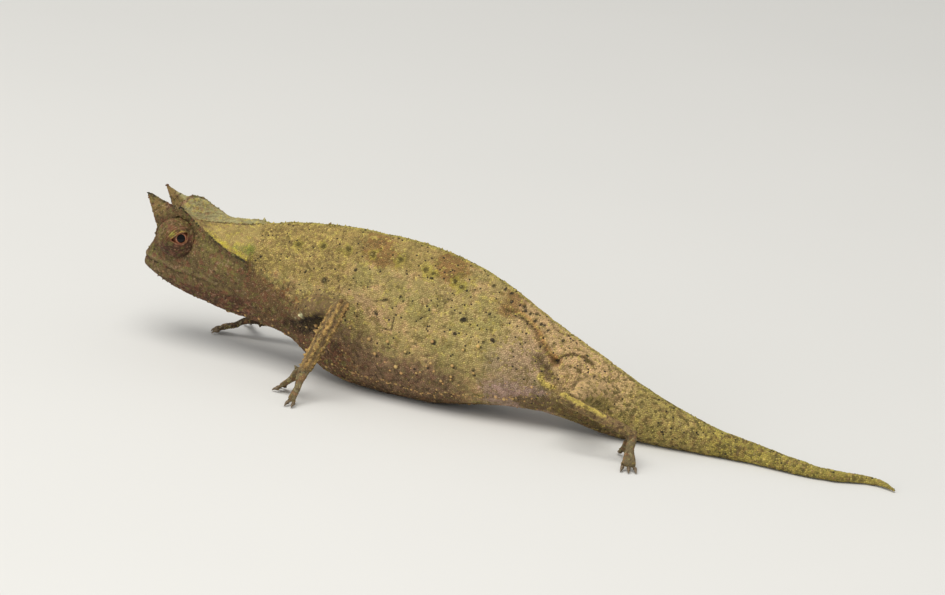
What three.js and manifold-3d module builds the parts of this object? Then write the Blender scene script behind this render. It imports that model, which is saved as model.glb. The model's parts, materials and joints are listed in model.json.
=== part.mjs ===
// A brown leaf chameleon (Brookesia superciliaris), life size, resting on level ground with its belly, feet
// and tail. Millimetres, +Z up. The head points along -X and the animal's left side faces -Y. The origin is
// on the ground, under the middle of the belly. Every sub-part is a closed solid; thin cuts part them.
import * as THREE from "three";
import { LoftGeometry } from "three/addons/geometries/LoftGeometry.js";
import { mergeVertices } from "three/addons/utils/BufferGeometryUtils.js";
import Module from "manifold-3d";

const wasm = await Module();
wasm.setup();

// ---- Driving dimensions ----
const SNOUT_X = -29.22; // tip of the snout
const HEAD_BACK_X = -16.4; // rear edge of the bony helmet
const TAIL_TIP_X = 50.4;
const CUT = 0.12; // width of the cut between two neighbours
const REACH = 200; // side of the boxes that trim solids
const RING = 24; // points around the body
const HEAD_RING = 36; // points around the head, two for each point of its outline
const FINE = 0.024; // flatter detail than this is left out
const MERGE = 1e-4; // points closer than this are one point
const EYE_CENTRE = new THREE.Vector3(-25.15, 2, 11.42); // right eye; the left one is mirrored
const TURRET_R = 2.12;
const TURRET_INNER_Y = 1.35; // the turret is rooted this far from the middle of the head
const EYEBALL_R = 1.5;
const EYEBALL_PUSH = 0.33; // how far the eyeball sits out of the turret's centre
const LID_SLIT = [0.95, 0.42]; // half length and half height of the opening between the lids
const LID_LEAN = new THREE.Vector3(1, 0, 0.6); // the opening rises towards its rear corner
const EYEBALL_ROOM = 0.08; // gap between eyeball and turret

// A smooth curve through [x, value] pairs, as a function of x, level beyond both ends.
function profile(pairs) {
  const slopes = pairs.map((pair, i) => {
    const before = pairs[Math.max(i - 1, 0)];
    const after = pairs[Math.min(i + 1, pairs.length - 1)];
    return (after[1] - before[1]) / (after[0] - before[0]);
  });
  return (x) => {
    if (x <= pairs[0][0]) return pairs[0][1];
    if (x >= pairs.at(-1)[0]) return pairs.at(-1)[1];
    const i = pairs.findIndex((pair) => pair[0] > x) - 1;
    const span = pairs[i + 1][0] - pairs[i][0];
    const t = (x - pairs[i][0]) / span;
    const rise = 3 * t ** 2 - 2 * t ** 3;
    const bend = slopes[i] * (t ** 3 - 2 * t ** 2 + t) + slopes[i + 1] * (t ** 3 - t ** 2);
    return pairs[i][1] * (1 - rise) + pairs[i + 1][1] * rise + span * bend;
  };
}

const mix = (a, b, t) => a + (b - a) * t;
const V = (x, y, z) => new THREE.Vector3(x, y, z);

// ---- Solids ----

// Any closed three.js geometry as a manifold solid, turned right side out.
function solid(geometry) {
  const bare = new THREE.BufferGeometry().setAttribute("position", geometry.getAttribute("position"));
  if (geometry.index) bare.setIndex(geometry.index);
  const merged = mergeVertices(bare, MERGE);
  const triVerts = new Uint32Array(merged.index.array);
  const vertProperties = merged.attributes.position.array;
  let made = new wasm.Manifold(new wasm.Mesh({ numProp: 3, vertProperties, triVerts }));
  if (made.volume() < 0) {
    for (let i = 0; i < triVerts.length; i += 3)
      [triVerts[i + 1], triVerts[i + 2]] = [triVerts[i + 2], triVerts[i + 1]];
    made = new wasm.Manifold(new wasm.Mesh({ numProp: 3, vertProperties, triVerts }));
  }
  return made;
}

// Everything on the side of a plane that its normal points to.
function halfSpace(point, normal) {
  const box = new THREE.BoxGeometry(REACH, REACH, REACH);
  const facing = normal.clone().normalize();
  box.applyQuaternion(new THREE.Quaternion().setFromUnitVectors(new THREE.Vector3(0, 0, 1), facing));
  const centre = point.clone().addScaledVector(facing, REACH / 2);
  return solid(box.translate(centre.x, centre.y, centre.z));
}

const aboveGround = halfSpace(new THREE.Vector3(0, 0, 0), new THREE.Vector3(0, 0, 1));

// The two sides of a cut: [the side the normal points to, the other side].
function cutSides(point, normal) {
  const facing = normal.clone().normalize();
  return [
    halfSpace(point.clone().addScaledVector(facing, CUT / 2), facing),
    halfSpace(point.clone().addScaledVector(facing, -CUT / 2), facing.clone().negate()),
  ];
}

// ---- Trunk and tail ----
const backZ = profile([
  [-17.6, 14.1], [-12.6, 15.3], [-7.8, 15.9], [-2.4, 16.05], [2, 15.75], [6.3, 14.8], [10.2, 13.2],
  [14, 11.1], [19.3, 8.35], [22.5, 6.65], [25.7, 5.05], [28.9, 3.85], [32, 2.85], [34.6, 2.35], [40.2, 1.6],
  [45, 1.15], [49, 0.8], [TAIL_TIP_X, 0.5],
]);
const bellyZ = profile([
  [-17.6, 3.95], [-14.5, 3.6], [-12.6, 3.2], [-10.8, 2.1], [-9, 0.9], [-7, 0.2], [-4.5, -0.15],
  [0, -0.25], [4, -0.12], [7, 0.5], [10, 1], [13, 1.25], [15.5, 1.2], [18.2, 0.7], [21, 0.05], [24, -0.15],
  [40, -0.12], [TAIL_TIP_X, 0.02],
]);
const sideY = profile([
  [-17.6, 3.15], [-15.5, 3.2], [-12.5, 3.5], [-8.5, 4.2], [-4, 4.85], [1, 5.1], [6, 4.95], [10, 4.4],
  [14, 3.65], [18, 3.05], [22, 2.55], [26, 2.05], [30, 1.6], [34, 1.25], [40, 0.9], [45, 0.66], [49, 0.46],
  [TAIL_TIP_X, 0.28],
]);
const widestAt = profile([[-18, 0.5], [-8, 0.4], [4, 0.36], [14, 0.42], [24, 0.48], [34, 0.5]]);
// 2 is a round back, 1 a flat-sided roof.
const keel = profile([[-18, 1.75], [-8, 1.6], [8, 1.55], [20, 1.6], [34, 1.8]]);
const spineY = profile([
  [6, 0], [12, 0.3], [18, 1], [24, 1.9], [30, 2.5], [35, 3], [38.5, 2.9], [41.5, 2.75], [44, 3.1],
  [45.8, 3.9], [47.2, 4.6], [48.6, 4.7], [TAIL_TIP_X, 3.9],
]);

const BELLY_KEEL = 2.2; // the underside is a little fuller than round
const HEADING_STEP = 0.3; // the spine's heading is read this far before and behind a section

// One upright section of trunk or tail, square to the spine's heading, pushed out by grow.
function bodySection(x, grow) {
  const top = backZ(x) + grow;
  const bottom = bellyZ(x) - grow;
  const half = sideY(x) + grow;
  const middle = mix(bottom, top, widestAt(x));
  const turn = spineY(x + HEADING_STEP) - spineY(x - HEADING_STEP);
  const heading = Math.atan2(turn, 2 * HEADING_STEP);
  return Array.from({ length: RING }, (_, i) => {
    const angle = (i / RING) * 2 * Math.PI;
    const rise = Math.sin(angle);
    const power = 2 / (rise > 0 ? keel(x) : BELLY_KEEL);
    const out = Math.sign(Math.cos(angle)) * half * Math.abs(Math.cos(angle)) ** power;
    const room = rise > 0 ? top - middle : middle - bottom;
    const up = Math.sign(rise) * Math.abs(rise) ** power * room;
    return V(x - out * Math.sin(heading), spineY(x) + out * Math.cos(heading), middle + up);
  });
}

const TRUNK_FROM_X = -17.6; // inside the head, so that the neck reaches the nape
const TRUNK_STEP = 1.9;
const TAIL_STEP = 2.2;
const TAIL_END_STATIONS = [46, 47.3, 48.5, 49.4, TAIL_TIP_X - 0.3, TAIL_TIP_X];

function bodyLoft(grow) {
  const stations = [];
  for (let x = TRUNK_FROM_X; x < 24; x += TRUNK_STEP) stations.push(x);
  for (let x = 24.5; x < 45; x += TAIL_STEP) stations.push(x);
  stations.push(...TAIL_END_STATIONS);
  const sections = stations.map((x) => bodySection(x, grow));
  return solid(new LoftGeometry(sections, { capStart: true, capEnd: true }));
}

// ---- Head ----
const roofZ = profile([
  [SNOUT_X, 7.95], [-28.9, 8.95], [-28.5, 10.2], [-27.7, 11.9], [-26.2, 12.9], [-23.5, 13.2], [-21, 13.6],
  [-18.5, 14.05], [HEAD_BACK_X, 14.45],
]);
const crestY = profile([
  [SNOUT_X, 0.35], [-28.9, 1.1], [-28.4, 1.8], [-27.4, 2.4], [-26, 2.65], [-23.7, 2.85], [-21, 3.2],
  [-18.5, 3.6], [-17, 3.8], [HEAD_BACK_X, 3.6],
]);
const crestZ = profile([
  [SNOUT_X, 7.9], [-28.9, 8.85], [-28.4, 10.5], [-27.4, 13.1], [-26, 14.4], [-24.7, 14.4], [-23.2, 13.6],
  [-20.4, 12.1], [-18.5, 11.3], [-17, 10.95], [HEAD_BACK_X, 10.9],
]);
const cheekY = profile([
  [SNOUT_X, 0.42], [-28.9, 1.15], [-28, 1.95], [-26.5, 2.55], [-24.5, 2.95], [-22, 3.2], [-19.5, 3.3],
  [HEAD_BACK_X, 3.15],
]);
const mouthZ = profile([[SNOUT_X, 7.5], [-26, 7.55], [-23, 7.85], [-20, 8.1]]);
const chinZ = profile([
  [SNOUT_X, 7.35], [-28.7, 7.15], [-28, 6.85], [-26.4, 6], [-24.7, 5.4], [-22.4, 4.85], [-19.3, 4.2],
  [HEAD_BACK_X, 3.95],
]);
const HEAD_TILT = 0.076; // the head leans to its left: this much rise per millimetre towards the right
const HEAD_TILT_FROM_Y = -2.9;
const ROOF_DROP = 0.3; // how far the roof has come down to the crest, halfway out
// Sections of the head, as distances behind the snout.
const HEAD_STATIONS = [0, 0.2, 0.5, 0.9, 1.5, 2.1, 2.9, 3.8, 4.9, 6, 7.2, 8.6, 10, 11.3, 12.3, 12.9];

// One section of the head: roof, crest, temple, cheek, lip, jaw and chin, on both sides.
function headSection(x) {
  const crest = [crestY(x), crestZ(x)];
  const lip = mouthZ(x);
  const chin = chinZ(x);
  const side = [
    [crest[0] * 0.5, mix(roofZ(x), crest[1], ROOF_DROP)],
    crest,
    [crest[0] * 0.93, mix(crest[1], lip, 0.13)],
    [mix(crest[0], cheekY(x), 0.6) * 0.98, mix(crest[1], lip, 0.42)],
    [cheekY(x), mix(crest[1], lip, 0.75)],
    [cheekY(x) * 0.96, lip],
    [cheekY(x) * 0.8, mix(lip, chin, 0.5)],
    [cheekY(x) * 0.42, mix(lip, chin, 0.9)],
  ];
  const loop = [[0, roofZ(x)], ...side, [0, chin], ...side.toReversed().map(([y, z]) => [-y, z])];
  const corners = loop.map(([y, z]) => {
    const upper = THREE.MathUtils.clamp((z - lip) / (crest[1] - lip), 0, 1);
    return V(x, y, z + HEAD_TILT * (y - HEAD_TILT_FROM_Y) * upper);
  });
  const outline = new THREE.CatmullRomCurve3(corners, true, "centripetal");
  return outline.getPoints(HEAD_RING).slice(0, HEAD_RING).reverse();
}

function headLoft() {
  const sections = HEAD_STATIONS.map((step) => headSection(SNOUT_X + step));
  return solid(new LoftGeometry(sections, { capStart: true, capEnd: true }));
}

// ---- Limbs ----

// A tube of changing thickness along points. Its narrow side over its wide side is flat, and wide is the way
// that it spreads.
function tube(points, radii, { sides = 10, rings = 6, flat = 1, wide = new THREE.Vector3(0, 0, 1) } = {}) {
  const path = new THREE.CatmullRomCurve3(points, false, "centripetal");
  const radius = profile(radii.map((value, i) => [i / (radii.length - 1), value]));
  const sections = Array.from({ length: rings + 1 }, (_, k) => {
    const t = k / rings;
    const centre = path.getPoint(t);
    const along = path.getTangent(t);
    const across = wide.clone().addScaledVector(along, -wide.dot(along)).normalize();
    const thin = new THREE.Vector3().crossVectors(along, across);
    return Array.from({ length: sides }, (_, i) => {
      const angle = (i / sides) * 2 * Math.PI;
      return centre
        .clone()
        .addScaledVector(across, Math.cos(angle) * radius(t))
        .addScaledVector(thin, Math.sin(angle) * radius(t) * flat);
    });
  });
  return solid(new LoftGeometry(sections, { capStart: true, capEnd: true }));
}

function ball(centre, radius, across = 12, down = 8) {
  return solid(new THREE.SphereGeometry(radius, across, down).translate(centre.x, centre.y, centre.z));
}

const TOE_Z = 0.29; // height of a toe tip's middle, a little less than its thickness, so that it rests flat

// Each leg from the body out: joints, thickness at each joint, and where its two bundles of toes reach.
const LEGS = {
  front_left: {
    root: V(-10.9, -2.6, 6.6), elbow: V(-5.15, -7.3, 9.85), wrist: V(-7.45, -8.95, 3.1),
    upper: [1.6, 1.35, 1, 0.84], lower: [0.84, 0.81, 0.7, 0.62],
    inner: { tip: V(-10.2, -8.1, TOE_Z), toes: 3 }, outer: { tip: V(-7.5, -12, TOE_Z), toes: 2 },
  },
  front_right: {
    root: V(-11.2, 2.4, 6), elbow: V(-12.9, 7, 4.5), wrist: V(-18.6, 6, 1.8),
    upper: [1.6, 1.35, 1, 0.84], lower: [0.84, 0.81, 0.7, 0.62],
    inner: { tip: V(-22.6, 4.9, TOE_Z), toes: 3 }, outer: { tip: V(-20.9, 9.3, TOE_Z), toes: 2 },
  },
  hind_left: {
    root: V(20.6, -0.4, 4.6), elbow: V(18.7, -6.5, 5.4), wrist: V(25.9, -5.5, 3),
    upper: [1.7, 1.5, 1.1, 0.76], lower: [0.72, 0.68, 0.62, 0.6],
    inner: { tip: V(24.5, -3.6, TOE_Z), toes: 2 }, outer: { tip: V(26.6, -8.1, TOE_Z), toes: 3 },
  },
  hind_right: {
    root: V(19.6, 1.6, 4.3), elbow: V(15.4, 6.9, 4.1), wrist: V(21.9, 7.3, 2.3),
    upper: [1.7, 1.5, 1.1, 0.76], lower: [0.72, 0.68, 0.62, 0.6],
    inner: { tip: V(20.5, 5.4, TOE_Z), toes: 2 }, outer: { tip: V(22.6, 9.9, TOE_Z), toes: 3 },
  },
};
const TOE_R = 0.36;
const TOE_TAPER = 0.86; // thickness at the tip over thickness at the root
const TOE_SHARE = 0.42; // how much of a bundle's length is free toes
const TOE_FAN = 0.62; // sideways step between neighbouring toe tips
const TOE_ARCH = 0.22; // how far the middle of a toe is lifted
const PAD_RADII = [0.72, 0.74, 0.5]; // wrist, palm and knuckles
const PAD_FLAT = 0.72;
const CLAW_LENGTH = 0.62;
const CLAW_R = 0.19;
const CLAW_DROP = 0.22; // how far the hook turns down
const WRIST_TILT = V(0, 0, -0.8); // tips the cut at the wrist, so that the toes keep their length

const parts = new Map();
const keep = (name, made) => parts.set(name, made.intersect(aboveGround).simplify(FINE));

// One bundle: a fused pad from the wrist to the knuckles, then free toes, each with a claw.
function bundle(name, wrist, { tip, toes }, region) {
  const reach = tip.clone().sub(wrist);
  const ground = V(reach.x, reach.y, 0).normalize();
  const sideways = V(-ground.y, ground.x, 0);
  const knuckle = wrist.clone().lerp(tip, 1 - TOE_SHARE).add(V(0, 0, 0.16));
  const palm = wrist.clone().lerp(knuckle, 0.5).add(V(0, 0, 0.3));
  const padShape = { sides: 8, rings: 3, flat: PAD_FLAT, wide: sideways };
  let made = tube([wrist, palm, knuckle], PAD_RADII, padShape);
  for (let i = 0; i < toes; i++) {
    const offset = (i - (toes - 1) / 2) * TOE_FAN;
    const start = knuckle.clone().addScaledVector(ground, -0.35).addScaledVector(sideways, offset * 0.45);
    const shorter = -Math.abs(offset) * 0.25;
    const end = tip.clone().addScaledVector(sideways, offset).addScaledVector(ground, shorter);
    const bend = start.clone().lerp(end, 0.55).add(V(0, 0, TOE_ARCH));
    const heading = V(end.x - start.x, end.y - start.y, 0).normalize();
    const [beyond, before] = cutSides(end, heading);
    const beyondTip = end.clone().addScaledVector(heading, 0.2);
    const toe = tube([start, bend, beyondTip], [TOE_R, TOE_R, TOE_R * TOE_TAPER], { sides: 6, rings: 3 });
    made = made.add(toe.intersect(before));
    const clawPath = [
      end.clone().addScaledVector(heading, -0.1).add(V(0, 0, 0.02)),
      end.clone().addScaledVector(heading, CLAW_LENGTH * 0.55).add(V(0, 0, 0.03)),
      end.clone().addScaledVector(heading, CLAW_LENGTH).add(V(0, 0, -CLAW_DROP)),
    ];
    const claw = tube(clawPath, [CLAW_R, CLAW_R * 0.8, 0.03], { sides: 5, rings: 3 });
    keep(`claw_${name}_${i + 1}`, claw.intersect(beyond));
  }
  keep(`toes_${name}`, made.intersect(region));
}

function leg(name, spec, trunkAround) {
  const { root, elbow, wrist } = spec;
  const upperWay = elbow.clone().sub(root).normalize();
  const lowerWay = wrist.clone().sub(elbow).normalize();
  const [pastElbow, beforeElbow] = cutSides(elbow, upperWay.clone().add(lowerWay));
  const [pastWrist, beforeWrist] = cutSides(wrist, lowerWay.clone().add(WRIST_TILT));
  const hind = name.startsWith("hind");
  const swell = root.clone().lerp(elbow, 0.5).add(V(0, 0, 0.25));
  const upper = tube([root, swell, elbow.clone().addScaledVector(upperWay, 0.8)], spec.upper);
  const lowerStart = elbow.clone().addScaledVector(lowerWay, -0.7);
  const lowerEnd = wrist.clone().addScaledVector(lowerWay, 0.6);
  const lower = tube([lowerStart, lowerEnd], spec.lower).intersect(pastElbow).intersect(beforeWrist);
  keep(`${hind ? "thigh" : "upper_arm"}_${name}`, upper.intersect(beforeElbow).subtract(trunkAround));
  keep(`${hind ? "shin" : "forearm"}_${name}`, lower.subtract(trunkAround));
  const wristBack = wrist.clone().addScaledVector(lowerWay, -0.3);
  const innerWay = spec.inner.tip.clone().sub(wrist).setZ(0).normalize();
  const outerWay = spec.outer.tip.clone().sub(wrist).setZ(0).normalize();
  const [innerSide, outerSide] = cutSides(wrist, innerWay.sub(outerWay));
  bundle(`${name}_inner`, wristBack, spec.inner, pastWrist.intersect(innerSide));
  bundle(`${name}_outer`, wristBack, spec.outer, pastWrist.intersect(outerSide));
}

// ---- Head pieces ----
const GAZE = { left: V(0.563, -0.792, 0.217), right: V(-0.42, 0.9, 0.1) };
const HORN_ROOT = V(-25.6, 2.25, 12.3);
const HORN_TIP = V(-28.95, 2.42, 15.28);
const HORN_UPRIGHT = V(0.665, 0, 0.747); // across the blade, in the side view
const HORN_RADII = [1.9, 1.22, 0.5, 0.16];
const HORN_FLAT = 0.4;
const HORN_CUT = { at: 0.57, facing: V(-0.77, 0, 0.64) }; // only the tips lie beyond this plane
const MOUTH = { at: V(-25, 0, 7.62), up: V(-0.06, 0, 1) };
const JAW_BACK = { at: V(-20.6, 0, 7), tailwards: V(1, 0, -0.45) };

// A flat blade of a horn that runs on from the brow ridge.
function horn(side) {
  const across = V(1, side, 1);
  const along = [0, 0.45, 0.8, 1].map((t) => HORN_ROOT.clone().lerp(HORN_TIP, t).multiply(across));
  return tube(along, HORN_RADII, { sides: 10, rings: 5, flat: HORN_FLAT, wide: HORN_UPRIGHT });
}

// Keeps one eyeball and its turret, and gives back the room they take in the head.
function eyeAndTurret(name, side) {
  const centre = EYE_CENTRE.clone().multiply(V(1, side, 1));
  const gaze = GAZE[name].clone().normalize();
  const middle = centre.clone().addScaledVector(gaze, EYEBALL_PUSH);
  const slit = new THREE.CylinderGeometry(1, 1, 2, 12).scale(LID_SLIT[0], 1, LID_SLIT[1]);
  const along = LID_LEAN.clone().addScaledVector(gaze, -LID_LEAN.dot(gaze)).normalize();
  const over = new THREE.Vector3().crossVectors(along, gaze);
  slit.applyMatrix4(new THREE.Matrix4().makeBasis(along, gaze, over));
  const hole = middle.clone().addScaledVector(gaze, EYEBALL_R);
  const opening = solid(slit.translate(hole.x, hole.y, hole.z));
  const outwards = V(0, side, 0);
  const outer = halfSpace(outwards.clone().multiplyScalar(TURRET_INNER_Y), outwards);
  const room = ball(middle, EYEBALL_R + EYEBALL_ROOM).add(opening);
  keep(`eye_${name}`, ball(middle, EYEBALL_R).intersect(outer));
  keep(`eyelid_${name}`, ball(centre, TURRET_R, 16, 10).subtract(room).intersect(outer));
  const socketSide = halfSpace(outwards.clone().multiplyScalar(TURRET_INNER_Y - CUT), outwards);
  return ball(centre, TURRET_R + CUT, 16, 10).intersect(socketSide);
}

// ---- Assembly ----

// The part of a solid between two cuts across it, each a plane through x and z that leans by dx per dz.
function slice(whole, front, back) {
  let made = whole;
  if (front) made = made.intersect(cutSides(V(front.x, 0, front.z), V(1, 0, -front.lean))[0]);
  if (back) made = made.intersect(cutSides(V(back.x, 0, back.z), V(1, 0, -back.lean))[1]);
  return made;
}

const ACROSS = {
  nape: { x: -16.8, z: 10.5, lean: 0.05 },
  shoulders: { x: -12.4, z: 9, lean: -0.1 },
  ribs: { x: -3, z: 8, lean: -0.05 },
  hips: { x: 13.2, z: 6, lean: 0.25 },
  tailRoot: { x: 23.2, z: 3, lean: 0.25 },
  tailThird: { x: 32.5, z: 1.5, lean: 0 },
  tailEnd: { x: 42, z: 1, lean: 0 },
};

function build() {
  const trunk = bodyLoft(0);
  const skull = headLoft().add(horn(-1)).add(horn(1));
  const sockets = eyeAndTurret("left", -1).add(eyeAndTurret("right", 1));
  const face = slice(skull, null, ACROSS.nape).subtract(sockets);

  const hornAt = HORN_ROOT.clone().lerp(HORN_TIP, HORN_CUT.at);
  const [hornSide, headSide] = cutSides(hornAt, HORN_CUT.facing);
  const leftmost = (horn) => horn.boundingBox().min[1];
  const [leftHorn, rightHorn] = face
    .intersect(hornSide)
    .decompose()
    .sort((a, b) => leftmost(a) - leftmost(b));
  keep("horn_left", leftHorn);
  keep("horn_right", rightHorn);

  const [aboveMouth, belowMouth] = cutSides(MOUTH.at, MOUTH.up);
  const [behindJaw, beforeJaw] = cutSides(JAW_BACK.at, JAW_BACK.tailwards);
  keep("lower_jaw", face.intersect(belowMouth).intersect(beforeJaw));
  keep("head", face.intersect(headSide).intersect(aboveMouth.add(behindJaw)));

  const cuts = Object.values(ACROSS);
  ["neck", "chest", "belly", "rump", "tail_base", "tail_middle", "tail_end"].forEach((name, i) =>
    keep(name, slice(trunk, cuts[i], cuts[i + 1])));

  const around = bodyLoft(CUT);
  Object.entries(LEGS).forEach(([name, spec]) => leg(name, spec, around));
}

const material = (color, roughness) => new THREE.MeshStandardMaterial({ color, roughness, metalness: 0 });
const MATERIALS = {
  claw: material(0x3a2c1c, 0.5), eye_: material(0x140d08, 0.15), eyelid: material(0x6b5238, 0.8),
  head: material(0x7a6135, 0.85), lower_jaw: material(0x735840, 0.85), horn: material(0x6f5836, 0.85),
  toes: material(0x74704a, 0.85), tail: material(0x94803a, 0.85), skin: material(0xa58a52, 0.85),
};

function mesh(name, made) {
  const { numProp, numVert, vertProperties, triVerts } = made.getMesh();
  const position = new Float32Array(numVert * 3);
  for (let i = 0; i < numVert; i++) {
    const first = i * numProp;
    position.set(vertProperties.subarray(first, first + 3), i * 3);
  }
  const geometry = new THREE.BufferGeometry();
  geometry.setAttribute("position", new THREE.BufferAttribute(position, 3));
  geometry.setIndex(new THREE.BufferAttribute(new Uint32Array(triVerts), 1));
  const kind = Object.keys(MATERIALS).find((word) => name.startsWith(word)) ?? "skin";
  const shown = new THREE.Mesh(geometry, MATERIALS[kind]);
  shown.name = name;
  return shown;
}

build();
const chameleon = new THREE.Group();
parts.forEach((made, name) => chameleon.add(mesh(name, made)));

export default chameleon;
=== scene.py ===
# %% [markdown]
# # A leaf chameleon, life size
# The CAD model gives the true outline of the animal, cut into plain solids.
# This script grows one skin over those solids, then adds the eyes, the lids, the claws
# and a coat of small scales, and lights it like an object on a studio table.
# Every length here is in millimetres until it is multiplied by MM.
# The head points to -X, the left side to -Y, and the floor is at Z = 0.

# %% Load the fixed frame
import json
import math

import bpy
import numpy as np
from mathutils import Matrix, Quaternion, Vector
from mathutils.bvhtree import BVHTree
from mathutils.kdtree import KDTree

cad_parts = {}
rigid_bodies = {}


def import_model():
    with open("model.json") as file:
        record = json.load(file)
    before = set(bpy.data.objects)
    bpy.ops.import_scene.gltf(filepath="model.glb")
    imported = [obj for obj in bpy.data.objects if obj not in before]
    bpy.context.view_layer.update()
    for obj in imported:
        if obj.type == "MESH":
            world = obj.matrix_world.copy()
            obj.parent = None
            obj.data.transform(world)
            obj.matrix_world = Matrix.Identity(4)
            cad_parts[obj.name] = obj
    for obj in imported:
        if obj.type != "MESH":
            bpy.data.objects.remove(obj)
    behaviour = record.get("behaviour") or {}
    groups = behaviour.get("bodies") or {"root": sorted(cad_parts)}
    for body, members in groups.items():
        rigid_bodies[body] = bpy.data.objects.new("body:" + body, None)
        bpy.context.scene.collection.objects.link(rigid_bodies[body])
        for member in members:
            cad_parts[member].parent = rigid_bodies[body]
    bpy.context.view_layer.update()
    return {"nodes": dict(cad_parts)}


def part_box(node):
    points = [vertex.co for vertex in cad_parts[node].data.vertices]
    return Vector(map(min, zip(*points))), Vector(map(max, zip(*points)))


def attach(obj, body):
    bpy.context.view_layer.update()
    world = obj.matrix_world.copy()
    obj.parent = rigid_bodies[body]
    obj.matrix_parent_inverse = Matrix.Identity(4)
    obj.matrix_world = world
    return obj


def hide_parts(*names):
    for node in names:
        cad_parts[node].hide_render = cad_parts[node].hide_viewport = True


MM = 0.001
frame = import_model()
nodes = frame["nodes"]

# %% [markdown]
# ## Camera
# A small animal looks natural from about half a metre through a long lens.
# A long lens flattens depth, so the near legs aren't swollen.
# The camera stands behind the left shoulder and a little above the back, and leans to one side.

# %% Camera
TARGET = Vector((4.88, 3.27, 10.28)) * MM
AROUND = math.radians(18)
ABOVE = math.radians(17)
LEAN = math.radians(7.27)
DISTANCE = 480 * MM
SENSOR = 36
SEEN_WIDTH = 94.5
backwards = Vector((
    math.sin(AROUND) * math.cos(ABOVE),
    -math.cos(AROUND) * math.cos(ABOVE),
    math.sin(ABOVE),
))
bpy.ops.object.camera_add(location=TARGET + backwards * DISTANCE)
camera = bpy.context.object
camera.rotation_mode = "QUATERNION"
camera.rotation_quaternion = backwards.to_track_quat("Z", "Y") @ Quaternion((0, 0, 1), LEAN)
camera.data.sensor_width = SENSOR
camera.data.lens = SENSOR * DISTANCE / (SEEN_WIDTH * MM)
camera.data.clip_start = 0.01
camera.data.clip_end = 20
bpy.context.scene.camera = camera
print("lens in mm:", round(camera.data.lens, 1))

# %% [markdown]
# ## Light and floor
# A product table has one wide soft light overhead and a pale sweep under the object.
# A wide light gives soft shadows, which keeps the small scales easy to read.

# %% Light and floor
FLOOR_WIDTH = 6


def soft_light(name, place, size, watts, colour):
    """A square lamp that faces the middle of the animal."""
    bpy.ops.object.light_add(type="AREA", location=Vector(place) * MM)
    lamp = bpy.context.object
    lamp.name = name
    lamp.data.size = size * MM
    lamp.data.energy = watts
    lamp.data.color = colour
    lamp.rotation_mode = "QUATERNION"
    lamp.rotation_quaternion = (lamp.location - TARGET).to_track_quat("Z", "Y")


soft_light("overhead", (-40, -200, 520), size=460, watts=2.7, colour=(1.0, 0.97, 0.92))
soft_light("front_fill", (-300, -460, 150), size=320, watts=0.9, colour=(1.0, 0.98, 0.96))
world = bpy.data.worlds.new("studio")
bpy.context.scene.world = world
world.use_nodes = True
sky = world.node_tree.nodes["Background"]
sky.inputs["Color"].default_value = (0.98, 0.97, 0.95, 1)
sky.inputs["Strength"].default_value = 0.5
bpy.context.scene.view_settings.view_transform = "Standard"

bpy.ops.mesh.primitive_plane_add(size=FLOOR_WIDTH, location=(0, 0, 0))
floor = bpy.context.object
floor.name = "floor"

# %% [markdown]
# ## One skin over the solids
# A real skin runs over head, trunk, legs and tail with no joint in it.
# Copies of the flesh solids are joined, swollen until they touch, and remeshed into one
# even net of small squares. The net is then drawn back in by the depth of the coat.
# A remesh is chosen over a boolean union, because it also rounds the inner corners.
# An operator acts on all that is selected, so each helper first selects what it needs.

# %% Select and change a piece
def only(*pieces):
    """Selects these pieces and nothing else."""
    bpy.ops.object.select_all(action="DESELECT")
    for piece in pieces:
        piece.select_set(True)
    bpy.context.view_layer.objects.active = pieces[0]


def edit(piece, action="SELECT"):
    """Opens a piece in edit mode with all of it selected, or with nothing."""
    only(piece)
    bpy.ops.object.mode_set(mode="EDIT")
    bpy.ops.mesh.select_all(action=action)


def done():
    bpy.ops.object.mode_set(mode="OBJECT")


def pick_points(piece, chosen):
    """Opens a piece in edit mode with only the chosen points selected."""
    edit(piece, "DESELECT")
    done()
    piece.data.vertices.foreach_set("select", chosen)
    bpy.ops.object.mode_set(mode="EDIT")


def change(piece, kind, **settings):
    """Adds one modifier and applies it."""
    only(piece)
    bpy.ops.object.modifier_add(type=kind)
    modifier = piece.modifiers[-1]
    for key, value in settings.items():
        setattr(modifier, key, value)
    bpy.ops.object.modifier_apply(modifier=modifier.name)


def smooth_look(piece):
    only(piece)
    bpy.ops.object.shade_smooth()


flesh = [n for n in nodes if not n.startswith(("eye_", "eyelid_", "claw_"))]
print("flesh solids:", len(flesh))


# %% Read and write the points of a piece
def read(items, field, width, kind=np.float32):
    """One field of all the items of a mesh, as an array with a row for each item."""
    flat = np.empty(len(items) * width, dtype=kind)
    items.foreach_get(field, flat)
    return flat.reshape(-1, width) if width > 1 else flat


def points_of(piece):
    """The points of a piece in millimetres."""
    return read(piece.data.vertices, "co", 3).astype(float) / MM


def set_points(piece, points):
    piece.data.vertices.foreach_set("co", (points * MM).astype(np.float32).ravel())
    piece.data.update()


def normals_of(piece):
    return read(piece.data.vertex_normals, "vector", 3).astype(float)


def triangles_in(*pieces):
    return sum(len(face.vertices) - 2 for piece in pieces for face in piece.data.polygons)


print("triangles in the solids:", triangles_in(*nodes.values()))


# %% Join, swell and remesh
COAT = 0.1
SWELL = 0.12
NET = 0.2
SAME_POINT = 0.002


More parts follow.
